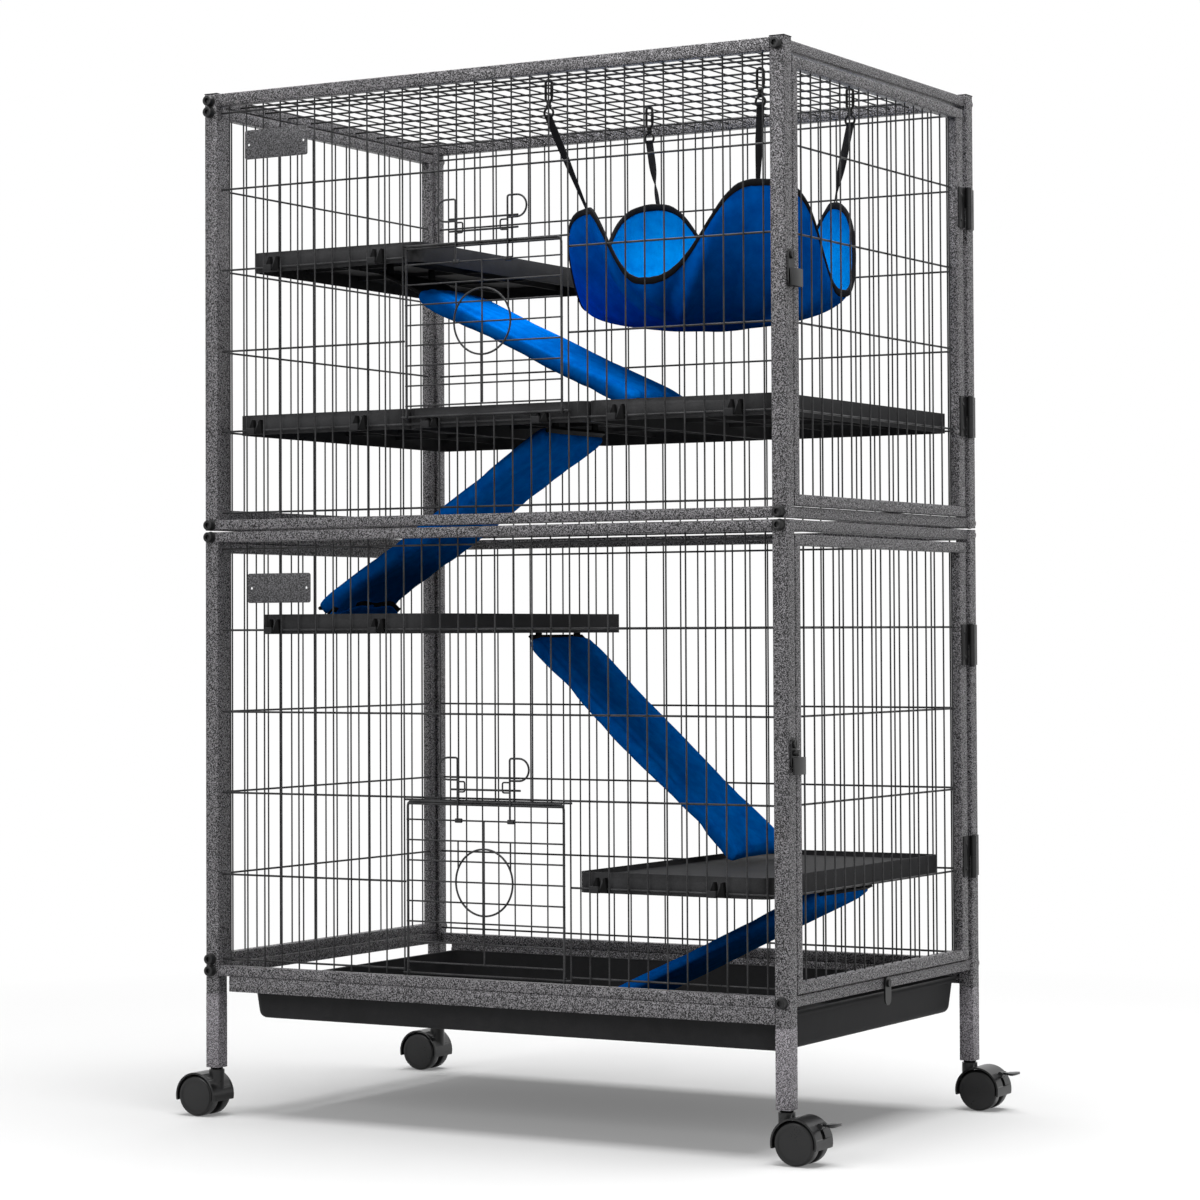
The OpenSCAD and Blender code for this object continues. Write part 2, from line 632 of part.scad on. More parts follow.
module upper_door() color(steel) placed() side_door(door_up, upper_rows);
module lower_door() color(steel) placed() side_door(door_low, lower_rows);
module upper_door_fittings()
  color(black) placed() {
    keeper(lever_z[0] - 34.5, lever_z[0] - 14.5);
    for (z = [hinge_z[0], hinge_z[1]]) leaf(z, -1);
  }
module lower_door_fittings()
  color(black) placed() {
    keeper(lever_z[1] - 34, lever_z[1] - 14.5);
    for (z = [hinge_z[2], hinge_z[3]]) leaf(z, -1);
  }

// Swinging latch levers on the front right post, and the pan tab
module lever(zp, z1, knob)
  difference() {
    union() {
      translate([half_w + 1, -py, 0]) rotate([90, 0, 90]) linear_extrude(2) union() {
        translate([0, zp]) circle(r = 7, $fn = 32);
        translate([-7, z1 + 7]) square([14, zp - z1 - 7]);
        translate([0, z1 + 7]) circle(r = 7, $fn = 32);
      }
      if (knob)
        translate([half_w + 3, -py, zp - 9.5]) rotate([0, 90, 0]) cylinder(h = 6.5, d = 7, $fn = 32);
    }
    translate([half_w, -py, zp]) rotate([0, 90, 0]) cylinder(h = 4, d = 5.1, $fn = 32);
  }

module upper_latch_lever() color(black) placed() lever(lever_z[0], lever_z[0] - 36, false);
module lower_latch_lever() color(black) placed() lever(lever_z[1], lever_z[1] - 27.5, true);

tab_x = side_x + rail_s / 2;
tab_z = floor_z + 5.5;
module pan_tab()
  color(black) placed()
    difference() {
      translate([tab_x + 0.65, -4, tab_z]) rotate([90, 0, 90]) linear_extrude(2) union() {
        circle(r = 8, $fn = 32);
        polygon([[-8, 0], [-8, -13.5], [-3, -25.5], [3, -25.5], [8, -13.5], [8, 0]]);
      }
      translate([tab_x - 0.35, -4, tab_z]) rotate([0, 90, 0]) cylinder(h = 4, d = 5.1, $fn = 32);
    }

module pivot_screw(x0, y, z, gap)
  translate([x0, y, z]) rotate([0, 90, 0]) {
    cylinder(h = gap, d = 9, $fn = 32);
    cylinder(h = gap + 2.3, d = 5, $fn = 32);
    difference() {
      translate([0, 0, gap + 2.2]) cylinder(h = 2.4, d = 9, $fn = 32);
      translate([-3.5, -0.6, gap + 3.6]) cube([7, 1.2, 2]);
    }
  }

module latch_screws()
  color(black) placed() {
    for (z = lever_z) pivot_screw(half_w, -py, z, 0.9);
    pivot_screw(tab_x, -4, tab_z, 0.55);
  }

// Small drop-down wire door and the two sprung halves of its latch
module small_door(z) {
  x = small_w / 2;
  y = -wire_y - 3.4;
  for (s = [-1, 1]) {
    wire_along_z(s * x, y, z + 2.2, z + small_h - 4, 3, 12);
    difference() {
      union() {
        wire_along_x(s * x - 3, s * x + 3, -wire_y - 2.1, z, 5.4, 24);
        block(s * x - 1.2, s * x + 1.2, y - 1.4, y + 1.2, z + 1.6, z + 3.4);
      }
      wire_along_x(s * x - 4, s * x + 4, -wire_y - 2.1, z, 2.62, 24);
    }
    wire_along_z(s * 36, y - 1.7, z + small_h - 78, z + small_h - 46, 2);
  }
  for (h = [0, 2.9])
    wire_along_x(-x, x, y, z + small_h - 3 + h, 3, 12);
  for (k = [0:7])
    wire_along_x(-x - 1.5, x + 1.5, y - 0.2, z + 11 + k * (small_h - 32.9) / 7, 2);
  wire_along_z(0, y - 1.85, z + 10, z + small_h - 21, 2);
  translate([0, y - 1.9, z + small_h - 93.6]) rotate([90, 0, 0])
    rotate_extrude($fn = 64) translate([ring_r, 0]) circle(r = 1.2, $fn = 16);
}

module small_door_upper() color(wire_col) placed() small_door(small_z[0]);
module small_door_lower() color(wire_col) placed() small_door(small_z[1]);

module latch_half(z, s) {
  y = -wire_y - 7.2;
  x = s * 36;
  b = z + small_h - 22;
  difference() {
    wire_along_x(x - 4, x + 4, y + 3.6, b + 0.1, 5.4, 24);
    wire_along_x(x - 5, x + 5, y + 3.6, b + 0.1, 2.2, 24);
  }
  wire_along_z(x, y + 1.2, b + 1, b + 75, 2.4);
  wire_along_x(s > 0 ? x : x - 13, s > 0 ? x + 13 : x, y + 1.2, b + 74, 2.4);
  wire_along_x(s > 0 ? x : x - 13, s > 0 ? x + 13 : x, y + 1.2, b + 48, 2.4);
  translate([x + s * 13, y + 1.2, b + 61]) rotate([90, 0, 0])
    rotate([0, 0, s > 0 ? -90 : 90]) rotate_extrude(angle = 180, $fn = 48)
      translate([13, 0]) circle(r = 1.1, $fn = 16);
  for (h = [34, 46])
    wire_along_x(s > 0 ? x - 10 : x, s > 0 ? x : x + 10, y + 1.2, b + h, 2);
  wire_along_z(x - s * 10, y + 1.2, b + 33, b + 47, 2);
}

module latch_half_upper_left() color(wire_col) placed() latch_half(small_z[0], -1);
module latch_half_upper_right() color(wire_col) placed() latch_half(small_z[0], 1);
module latch_half_lower_left() color(wire_col) placed() latch_half(small_z[1], -1);
module latch_half_lower_right() color(wire_col) placed() latch_half(small_z[1], 1);

// Plastic pan with sloped walls and a rolled rim
module tub(top, low, z0, z1, r)
  hull() {
    round_slab(low[0], low[1], -low[2], low[2], z0, z0 + 0.5, r);
    round_slab(top[0], top[1], -top[2], top[2], z1 - 0.5, z1, r);
  }

module pan()
  color(black) placed() {
    h = half_d - rail_s - tube_wall - pan_play;
    t = pan_t;
    x0 = -inner_x + 26;
    x1 = inner_x + 4;
    low = floor_z - 52;
    difference() {
      union() {
        tub([x0 + 4.5, x1 - 4.5, h - 4.5], [x0 + 17, x1 - 17, h - 12], low, floor_z - 9, 14);
        round_slab(x0, x1, -h, h, floor_z - 10.8, floor_z - 8, 16);
        round_slab(x0, x0 + 1.6, -h + 12, h - 12, floor_z - 14, floor_z - 9, 0.7);
        round_slab(x1 - 1.6, x1, -h + 12, h - 12, floor_z - 14, floor_z - 9, 0.7);
      }
      tub([x0 + 4.5 + t, x1 - 4.5 - t, h - 4.5 - t], [x0 + 17 + t, x1 - 17 - t, h - 12 - t],
        low + t, floor_z - 7.4, 12);
    }
    for (k = [-2:2])
      block(x0 + 55, x1 - 55, k * 70 - 3, k * 70 + 3, low + t, low + 1.4 + t);
  }

// Twin-wheel swivel casters; the right pair carries brake levers
module caster_stems()
  color(black) placed()
    for (s = [-1, 1], t = [-1, 1]) translate([s * px, t * py, 0]) {
      h = leg_half - tube_wall;
      wire_along_z(0, 0, leg_z - 12.5, leg_z + 32.5, 10, 32);
      wire_along_z(0, 0, leg_z - 2.1, leg_z, 15, 32);
      difference() {
        block(-h, h, -h, h, leg_z, leg_z + 28.5);
        wire_along_z(0, 0, leg_z - 9.5, leg_z + 40.5, 9.9, 32);
      }
    }

module at_caster(s, t)
  translate([s * px, t * py, 0]) rotate([0, 0, s > 0 ? 0 : 180]) children();

// Shell and bore radii of the hood, and the pin of the brake lever
hood_r = wheel_r + 3.5;
bore_r = wheel_r + 1.4;
pin_x = trail + wheel_r + 0.4;
pin_z = wheel_r + 19.6;

module hood(brake) {
  w = 21;
  difference() {
    union() {
      wire_along_y(trail, -w, w, wheel_r, 2 * hood_r, 96);
      wire_along_z(0, 0, 30, leg_z - 2.5, 19, 40);
    }
    wire_along_y(trail, -w - 1, w + 1, wheel_r, 2 * bore_r, 96);
    block(-40, 80, -30, 30, -10, wheel_r - 6);
    wire_along_z(0, 0, leg_z - 13.5, leg_z + 0.5, 10.1, 32);
    if (brake) block(pin_x - 2.4, pin_x + 6.6, -3.8, 3.8, pin_z - 14.6, pin_z - 4.6);
  }
  difference() {
    union() {
      wire_along_y(trail, -4.4, 4.4, wheel_r, 24, 48);
      block(-4, trail + 4, -4.4, 4.4, wheel_r - 1, wheel_r + 21);
      block(trail - 4, trail + 16, -4.4, 4.4, wheel_r + 5, wheel_r + 21);
    }
    wire_along_z(0, 0, leg_z - 13.5, leg_z + 0.5, 10.1, 32);
  }
  wire_along_y(trail, -20.4, 20.4, wheel_r, 8, 32);
  if (brake) {
    for (s = [-1, 1])
      difference() {
        union() {
          translate([0, s > 0 ? 3.8 : -6.8, 0]) wire_along_y(pin_x, 0, 3, pin_z, 7, 32);
          block(pin_x - 6.9, pin_x, s > 0 ? 3.8 : -6.8, s > 0 ? 6.8 : -3.8,
            pin_z - 3.5, pin_z + 1.4);
        }
        wire_along_y(trail, -30, 30, wheel_r, 2 * bore_r, 96);
      }
    wire_along_y(pin_x, -5, 5, pin_z, 3, 32);
  }
}

module wheels() {
  r = wheel_r;
  for (m = [0, 1]) mirror([0, m, 0])
    translate([trail, 0, r]) rotate([-90, 0, 0]) rotate_extrude($fn = 96)
      polygon([[4.05, 5], [10, 5], [10, 7], [r - 5, 7], [r - 5, 5], [r - 0.8, 5], [r, 6.2],
        [r, 18], [r - 1, 20.2], [r - 3.4, 21.5], [0, 21.5], [0, 20.6], [4.05, 20.6]]);
}

module brake()
  translate([pin_x, 0, pin_z]) difference() {
    union() {
      wire_along_y(0, -3.6, 3.6, 0, 6.6, 32);
      block(0.6, 12.6, -3.6, 3.6, 0, 2.6);
      translate([0, 0, 0.3]) linear_extrude(2.6)
        polygon([[7.6, -6], [14.6, -12], [18.4, -12], [19.6, -8], [19.6, 8], [18.4, 12],
          [14.6, 12], [7.6, 6]]);
    }
    wire_along_y(0, -10, 10, 0, 3.1, 32);
  }

module caster_hood_fl() color(black) placed() at_caster(-1, -1) hood(false);
module caster_hood_fr() color(black) placed() at_caster(1, -1) hood(true);
module caster_hood_bl() color(black) placed() at_caster(-1, 1) hood(false);
module caster_hood_br() color(black) placed() at_caster(1, 1) hood(true);
module caster_wheels_fl() color(black) placed() at_caster(-1, -1) wheels();
module caster_wheels_fr() color(black) placed() at_caster(1, -1) wheels();
module caster_wheels_bl() color(black) placed() at_caster(-1, 1) wheels();
module caster_wheels_br() color(black) placed() at_caster(1, 1) wheels();
module brake_fr() color(black) placed() at_caster(1, -1) brake();
module brake_br() color(black) placed() at_caster(1, 1) brake();

upper_front_frame();
lower_front_frame();
upper_back_frame();
lower_back_frame();
front_uprights();
front_cross_wires();
upper_back_grille();
lower_back_grille();
side_rails();
left_panel_upper();
left_panel_lower();
top_mesh();
post_caps();
frame_bolts();
legs();
pan_runners();
shelf_top_left();
shelf_mid_left();
shelf_mid_centre();
shelf_mid_right();
shelf_low_left();
shelf_low_right();
ramp_cover_1();
ramp_cover_2();
ramp_cover_3();
ramp_cover_4();
ramp_boards();
hammock();
hammock_straps();
hammock_hooks();
name_plates();
hinge_post_leaves();
hinge_pins();
latch_screws();
caster_stems();
upper_door();
upper_door_fittings();
lower_door();
lower_door_fittings();
upper_latch_lever();
lower_latch_lever();
small_door_upper();
small_door_lower();
latch_half_upper_left();
latch_half_upper_right();
latch_half_lower_left();
latch_half_lower_right();
pan();
pan_tab();
caster_hood_fl();
caster_hood_fr();
caster_hood_bl();
caster_hood_br();
caster_wheels_fl();
caster_wheels_fr();
caster_wheels_bl();
caster_wheels_br();
brake_fr();
brake_br();
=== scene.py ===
"""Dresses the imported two-storey wire cage: hammered steel, wire grilles, moulded shelves and cloth."""
import json
import logging
import math
from contextlib import contextmanager
from dataclasses import dataclass
from enum import Enum
from functools import cache
from typing import Callable, Iterable, Iterator, Sequence

import bpy
from mathutils import Matrix, Vector

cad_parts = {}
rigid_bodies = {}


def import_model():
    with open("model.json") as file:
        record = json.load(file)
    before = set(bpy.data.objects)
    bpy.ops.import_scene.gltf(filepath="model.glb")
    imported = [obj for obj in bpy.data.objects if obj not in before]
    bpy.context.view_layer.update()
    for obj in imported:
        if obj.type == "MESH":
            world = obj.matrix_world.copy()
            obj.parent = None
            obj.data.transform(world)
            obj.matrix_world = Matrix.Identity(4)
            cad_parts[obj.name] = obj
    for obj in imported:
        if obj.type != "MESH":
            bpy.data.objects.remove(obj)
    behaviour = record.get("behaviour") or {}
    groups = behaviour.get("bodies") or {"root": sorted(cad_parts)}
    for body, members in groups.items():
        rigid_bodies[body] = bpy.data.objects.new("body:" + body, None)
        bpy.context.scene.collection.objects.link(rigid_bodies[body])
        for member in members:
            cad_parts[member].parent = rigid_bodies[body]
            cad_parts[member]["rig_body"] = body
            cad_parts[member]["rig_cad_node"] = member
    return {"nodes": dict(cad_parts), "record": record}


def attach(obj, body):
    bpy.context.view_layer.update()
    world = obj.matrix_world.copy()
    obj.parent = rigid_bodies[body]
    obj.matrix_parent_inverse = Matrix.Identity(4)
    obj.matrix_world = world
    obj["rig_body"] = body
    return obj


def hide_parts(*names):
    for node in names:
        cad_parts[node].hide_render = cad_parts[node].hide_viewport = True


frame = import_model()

logging.basicConfig(level=logging.INFO, format="%(name)s: %(message)s")
log = logging.getLogger("cage")

MM = 0.001
TINY = 1e-6
SHIFT_X = -8.25  # where the drawing's origin lies along X in the row frame, in millimetres
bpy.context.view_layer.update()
Object = bpy.types.Object
Socket = bpy.types.NodeSocket
Color = tuple[float, float, float]
Point = tuple[float, float, float]
Pair = tuple[float, float]
Test = Callable[[Vector, Vector], bool]


class Slot(str, Enum):
    """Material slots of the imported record."""

    HAMMERED = "hammered_steel"
    WIRE = "grille_wire"
    BLACK_STEEL = "black_steel"
    BLACK_PLASTIC = "black_plastic"
    SHELF = "shelf_plastic"
    PAN = "pan_plastic"
    RAMP = "ramp_cloth"
    HAMMOCK = "hammock_cloth"
    WEBBING = "webbing"
    HOOK = "hook_plastic"
    PLATE = "plate_metal"
    CASTER = "caster_gloss"


class Axis(Enum):
    """Direction that a tube runs in."""

    X = 0
    Y = 1
    Z = 2


class Part(Enum):
    """Parts of a mesh that a test picks: edges by their ends, faces by centre and normal."""

    EDGE = "EDGE"
    FACE = "FACE"


# Modelling helpers


def pick(*objs: Object) -> None:
    """Selects the objects alone and makes the first one active."""
    bpy.ops.object.select_all(action="DESELECT")
    for obj in objs:
        obj.select_set(True)
    bpy.context.view_layer.objects.active = objs[0]


def freeze(obj: Object) -> Object:
    """Applies place, turn and scale, so that the object sits at the origin."""
    pick(obj)
    bpy.ops.object.transform_apply(location=True, rotation=True, scale=True)
    return obj


def modify(obj: Object, kind: str, **settings: object) -> Object:
    """Adds a modifier with its settings and applies it."""
    modifier = obj.modifiers.new(kind.title(), kind)
    for key, value in settings.items():
        setattr(modifier, key, value)
    pick(obj)
    bpy.ops.object.modifier_apply(modifier=modifier.name)
    return obj


def join(objs: Sequence[Object], name: str) -> Object:
    """Joins meshes into one named piece, with its place in its mesh."""
    pick(*objs)
    if len(objs) > 1:
        bpy.ops.object.join()
    piece = bpy.context.view_layer.objects.active
    piece.name = piece.data.name = name
    return freeze(piece)


def smooth(obj: Object, degrees: float = 40.0) -> Object:
    """Shades the faces smooth up to an angle between them."""
    pick(obj)
    bpy.ops.object.shade_smooth_by_angle(angle=math.radians(degrees))
    return obj


@contextmanager
def selected(obj: Object, part: Part, test: Test) -> Iterator[None]:
    """Opens edit mode with the edges or faces selected that pass a test.

    Args:
        obj: the mesh object.
        part: whether edges or faces are tested.
        test: takes the ends of an edge, or the centre and the normal of a face.
    """
    pick(obj)
    bpy.ops.object.mode_set(mode="EDIT")
    bpy.ops.mesh.select_mode(type=part.value)
    bpy.ops.mesh.select_all(action="DESELECT")
    bpy.ops.object.mode_set(mode="OBJECT")
    if part is Part.EDGE:
        for edge in obj.data.edges:
            edge.select = test(*(obj.data.vertices[i].co for i in edge.vertices))
    else:
        for face in obj.data.polygons:
            face.select = test(face.center, face.normal)
    bpy.ops.object.mode_set(mode="EDIT")
    yield
    bpy.ops.object.mode_set(mode="OBJECT")


def bevel(obj: Object, width: float, segments: int, test: Test, part: Part = Part.EDGE) -> Object:
    """Rounds over the edges that pass a test, or those round the faces that pass it."""
    with selected(obj, part, test):
        bpy.ops.mesh.bevel(offset=width * MM, segments=segments, affect="EDGES")
    return obj


def spot(x: float, y: float, z: float) -> Vector:
    """A point of the drawing in millimetres as a row-frame point in metres."""
    return Vector(((x + SHIFT_X) * MM, y * MM, z * MM))


def shift(points: Iterable[Point]) -> list[Vector]:
    """Points of the drawing in millimetres as row-frame points in metres."""
    return [spot(*p) for p in points]


def arc(centre: Point, radius: float, start: float, step: float, count: int) -> list[Point]:
    """Points on a circle in the XZ plane, from a first angle on in equal steps of degrees."""
    x, y, z = centre
    turns = (math.radians(start + step * i) for i in range(count))
    return [(x + radius * math.cos(a), y, z + radius * math.sin(a)) for a in turns]


def block(low: Point, high: Point) -> Object:
    """A box from corner to corner, in drawing millimetres, with its scale applied."""
    a, b = spot(*low), spot(*high)
    bpy.ops.mesh.primitive_cube_add(size=1, location=(a + b) / 2)
    obj = bpy.context.active_object
    obj.scale = b - a
    return freeze(obj)


def square_tube(low: Point, high: Point, axis: Axis, wall: float = 1.2, corner: float = 1.8) -> Object:
    """A square tube with open ends and rounded long corners.

    Args:
        low: lowest corner in drawing millimetres.
        high: highest corner in drawing millimetres.
        axis: direction that the tube runs in.
        wall: wall thickness in millimetres.
        corner: outer corner radius in millimetres.

    Returns:
        The tube as a mesh object.
    """
    obj = block(low, high)
    k = axis.value
    a, b = spot(*low), spot(*high)
    with selected(obj, Part.FACE, lambda c, n: abs(n[k]) > 0.9):
        bpy.ops.mesh.inset(thickness=wall * MM, use_individual=True)
        bpy.ops.mesh.bridge_edge_loops()

    def outer_long(p: Vector, q: Vector) -> bool:
        """Whether an edge runs along the tube at one of its outer corners."""
        along = abs((q - p)[k])
        if along < TINY / 10 or abs(along - (q - p).length) > TINY / 10:
            return False
        return all(min(abs(p[i] - a[i]), abs(p[i] - b[i])) < TINY for i in range(3) if i != k)

    return bevel(obj, corner, 3, outer_long)


def wire(start: Point, end: Point, diameter: float, sides: int = 10) -> Object:
    """A straight round wire between two points in drawing millimetres."""
    a, b = spot(*start), spot(*end)
    bpy.ops.mesh.primitive_cylinder_add(
        vertices=sides, radius=diameter * MM / 2, depth=(b - a).length, location=(a + b) / 2)
    obj = bpy.context.active_object
    obj.rotation_euler = (b - a).to_track_quat("Z", "Y").to_euler()
    return freeze(obj)


def repeat(obj: Object, count: int, step: Point) -> Object:
    """Copies a mesh along a step in millimetres."""
    return modify(obj, "ARRAY", use_relative_offset=False, use_constant_offset=True,
                  constant_offset_displace=[s * MM for s in step], count=count)


def rounded(points: Sequence[Point], radius: float, steps: int = 6) -> list[Vector]:
    """A path with its inner corners rounded, as row-frame points in metres.

    Args:
        points: corners in drawing millimetres.
        radius: bend radius in millimetres.
        steps: points along each bend.

    Returns:
        The points of the path.
    """
    raw = [Vector(p) for p in points]
    path = [raw[0]]
    for before, here, after in zip(raw, raw[1:], raw[2:]):
        u, v = before - here, after - here
        half = math.tan(u.angle(v) / 2)
        reach = min(radius / max(half, 1e-3), u.length * 0.49, v.length * 0.49)
        for i in range(steps + 1):
            t = i / steps
            path.append(here + u.normalized() * reach * (1 - t) ** 2 + v.normalized() * reach * t ** 2)
    path.append(raw[-1])
    return shift(path)


def bent_wire(points: Sequence[Point], diameter: float, bend: float = 4.0, closed: bool = False) -> Object:
    """A wire that follows a path with rounded bends, as a closed mesh.

    Args:
        points: corners in drawing millimetres.
        diameter: wire diameter in millimetres.
        bend: bend radius in millimetres.
        closed: whether the path closes on itself, unrounded.

    Returns:
        The wire as a mesh object.
    """
    path = shift(points) if closed else rounded(points, bend)
    bpy.ops.curve.primitive_bezier_curve_add()
    obj = bpy.context.active_object
    curve = obj.data
    curve.splines.clear()
    spline = curve.splines.new("POLY")
    spline.points.add(len(path) - 1)
    for knot, p in zip(spline.points, path):
        knot.co = (*p, 1.0)
    spline.use_cyclic_u = closed
    curve.dimensions = "3D"
    curve.bevel_depth = diameter * MM / 2
    curve.bevel_resolution = 3
    curve.use_fill_caps = not closed
    pick(obj)
    bpy.ops.object.convert(target="MESH")
    return bpy.context.active_object


def soft_copy(node: str, width: float, longest: float, degrees: float = 50.0) -> Object:
    """A merged copy of a CAD node with its long sharp edges rounded over.

    Args:
        node: name of the CAD node.
        width: bevel width in millimetres.
        longest: only edges longer than this, in millimetres, are rounded.
        degrees: smallest angle between two faces that counts as sharp.

    Returns:
        The copy, which the caller names and dresses.
    """
    source = frame["nodes"][node]
    obj = source.copy()
    obj.data = source.data.copy()
    bpy.context.scene.collection.objects.link(obj)
    obj.parent = None
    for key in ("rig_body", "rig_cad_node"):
        if key in obj:
            del obj[key]
    pick(obj)
    bpy.ops.object.mode_set(mode="EDIT")
    bpy.ops.mesh.select_all(action="SELECT")
    bpy.ops.mesh.remove_doubles(threshold=2 * TINY)
    bpy.ops.mesh.dissolve_limited(angle_limit=math.radians(0.4))
    bpy.ops.object.mode_set(mode="OBJECT")
    weights = obj.data.attributes.new("bevel_weight_edge", "FLOAT", "EDGE")
    faces_of: dict[tuple[int, int], list[Vector]] = {}
    for face in obj.data.polygons:
        for key in face.edge_keys:
            faces_of.setdefault(key, []).append(face.normal)
    for edge in obj.data.edges:
        a, b = (obj.data.vertices[i].co for i in edge.vertices)
        normals = faces_of.get(tuple(sorted(edge.vertices)), [])
        sharp = len(normals) == 2 and normals[0].angle(normals[1], 0.0) > math.radians(degrees)
        weights.data[edge.index].value = float(sharp and (a - b).length > longest * MM)
    return smooth(modify(obj, "BEVEL", limit_method="WEIGHT", width=width * MM, segments=2))


def place(piece: Object, name: str, body: str, finish: "Finish", nodes: Sequence[str] = (),
          lining: "Finish | None" = None) -> Object:
    """Names, dresses and mounts a finished piece, and reports it.

    Args:
        piece: the finished mesh.
        name: name of the piece.
        body: CAD body that it rides on.
        finish: its finish.
        nodes: CAD nodes that it stands for.
        lining: finish of its second slot, where it has one; it carries painted light on the hammock's inside and
            painted shade in a ramp's mouth.

    Returns:
        The same piece.
    """
    piece.name = piece.data.name = name
    faces = [face.material_index for face in piece.data.polygons]
    piece.data.materials.clear()
    piece.data.materials.append(finish.material())
    if lining:
        piece.data.materials.append(lining.material())
        piece.data.polygons.foreach_set("material_index", faces)
    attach(piece, body)
    if nodes:
        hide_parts(*nodes)
    log.info("%s on %s, %d faces", name, body, len(piece.data.polygons))
    return piece


def assemble(parts: Sequence[Object], name: str, body: str, finish: "Finish", nodes: Sequence[str] = (),
             degrees: float = 60.0) -> Object:
    """Joins parts into one piece, shades it smooth up to an angle, and places it."""
    return place(smooth(join(parts, name), degrees), name, body, finish, nodes)


# Finishes


class Tree:
    """Adds and links nodes in one shader tree."""

    def __init__(self, tree: bpy.types.NodeTree) -> None:
        """Keeps the tree that the nodes go into."""
        self.tree = tree

    def feed(self, socket: Socket, value: object) -> None:
        """Links another socket to an input, or sets the input to a value."""
        if isinstance(value, Socket):
            self.tree.links.new(value, socket)
        else:
            socket.default_value = value

    def fill(self, node: str, inputs: dict[str, object]) -> None:
        """Sets or links inputs of a node that the tree already holds."""
        for key, value in inputs.items():
            self.feed(self.tree.nodes[node].inputs[key], value)

    def add(self, kind: str, settings: dict | None = None, *values: object, **inputs: object) -> bpy.types.Node:
        """Adds a node.

        Args:
            kind: the node's type name, without ShaderNode in front.
            settings: properties of the node itself.
            values: values or sockets for its first inputs.
            inputs: values or sockets for inputs by name.

        Returns:
            The new node.
        """
        node = self.tree.nodes.new(kind if kind.startswith("NodeGroup") else f"ShaderNode{kind}")
        for key, value in (settings or {}).items():
            setattr(node, key, value)
        for socket, value in zip(node.inputs, values):
            self.feed(socket, value)
        for key, value in inputs.items():
            self.feed(node.inputs[key], value)
        return node

    def math(self, operation: str, *values: object) -> Socket:
        """Adds a math node and returns its result."""
        return self.add("Math", {"operation": operation}, *values).outputs[0]

    def blend(self, factor: Socket, low: object, high: object, kind: str = "RGBA") -> Socket:
        """Mixes two colours, or two numbers where the kind is FLOAT, by a factor."""
        first, result = (6, 2) if kind == "RGBA" else (2, 0)
        node = self.add("Mix", {"data_type": kind}, factor)
        self.feed(node.inputs[first], low)
        self.feed(node.inputs[first + 1], high)
        return node.outputs[result]

    def spread(self, value: Socket, source: Pair, target: Pair = (0.0, 1.0)) -> Socket:
        """Maps a value from one range to another, clamped."""
        return self.add("MapRange", None, value, *source, *target).outputs[0]


def new_group(name: str, inputs: dict[str, object]) -> tuple[Tree, bpy.types.NodeOutputs]:
    """Starts a shader node group that puts out colour, roughness and height.

    Args:
        name: name of the group.
        inputs: default of each input beside Vector: a number, or a colour with opacity.

    Returns:
        The group's tree and the outputs of its input node.
    """
    group = bpy.data.node_groups.new(name, "ShaderNodeTree")
    sockets = group.interface
    sockets.new_socket(name="Vector", in_out="INPUT", socket_type="NodeSocketVector")
    for label, default in inputs.items():
        kind = "NodeSocketColor" if isinstance(default, tuple) else "NodeSocketFloat"
        sockets.new_socket(name=label, in_out="INPUT", socket_type=kind).default_value = default
    for label, kind in (("Color", "Color"), ("Roughness", "Float"), ("Height", "Float")):
        sockets.new_socket(name=label, in_out="OUTPUT", socket_type="NodeSocket" + kind)
    tree = Tree(group)
    return tree, tree.add("NodeGroupInput").outputs


@cache
def hammer() -> bpy.types.NodeTree:
    """Mottled hammered paint: cells of light peaks with dark valleys between them."""
    tree, src = new_group("HammeredCells", {
        "Cells": 700.0, "Valley": (0.02, 0.02, 0.02, 1.0), "Peak": (0.2, 0.2, 0.2, 1.0)})
    warp = tree.add("TexNoise", Vector=src["Vector"], Scale=900.0, Detail=2.0)
    shake = tree.add("VectorMath", {"operation": "MULTIPLY_ADD"},
                     warp.outputs["Color"], (0.0011,) * 3, src["Vector"])
    cells = tree.add("TexVoronoi", {"feature": "SMOOTH_F1"},
                     Vector=shake.outputs[0], Scale=src["Cells"], Smoothness=0.4)
    tone = tree.add("TexNoise", Vector=src["Vector"], Scale=640.0, Detail=3.0, Roughness=0.65)
    high = tree.spread(cells.outputs["Distance"], (0.75, 0.15))
    mottle = tree.spread(tone.outputs["Fac"], (0.36, 0.64), (0.0, 0.5))
    mask = tree.spread(tree.math("MULTIPLY_ADD", high, 0.5, mottle), (0.34, 0.7))
    tree.add("NodeGroupOutput", Color=tree.blend(mask, src["Valley"], src["Peak"]),
             Roughness=tree.spread(mask, (0.0, 1.0), (0.55, 0.28)), Height=mask)
    return tree.tree


@cache
def grain() -> bpy.types.NodeTree:
    """Fine grain with broad uneven patches, for paint and moulded plastic."""
    tree, src = new_group("FineGrain", {
        "Grain": 1500.0, "Base": (0.03, 0.03, 0.03, 1.0), "Worn": (0.06, 0.06, 0.06, 1.0),
        "Gloss": 0.35, "Dull": 0.5})
    fine = tree.add("TexNoise", Vector=src["Vector"], Scale=src["Grain"], Detail=3.0, Roughness=0.6)
    broad = tree.add("TexNoise", Vector=src["Vector"], Scale=28.0, Detail=4.0, Roughness=0.6)
    patch = tree.spread(broad.outputs["Fac"], (0.35, 0.7), (0.0, 0.6))
    both = tree.math("MULTIPLY_ADD", tree.spread(fine.outputs["Fac"], (0.3, 0.7)), 0.4, patch)
    tree.add("NodeGroupOutput", Color=tree.blend(both, src["Base"], src["Worn"]),
             Roughness=tree.blend(both, src["Gloss"], src["Dull"], "FLOAT"), Height=fine.outputs["Fac"])
    return tree.tree


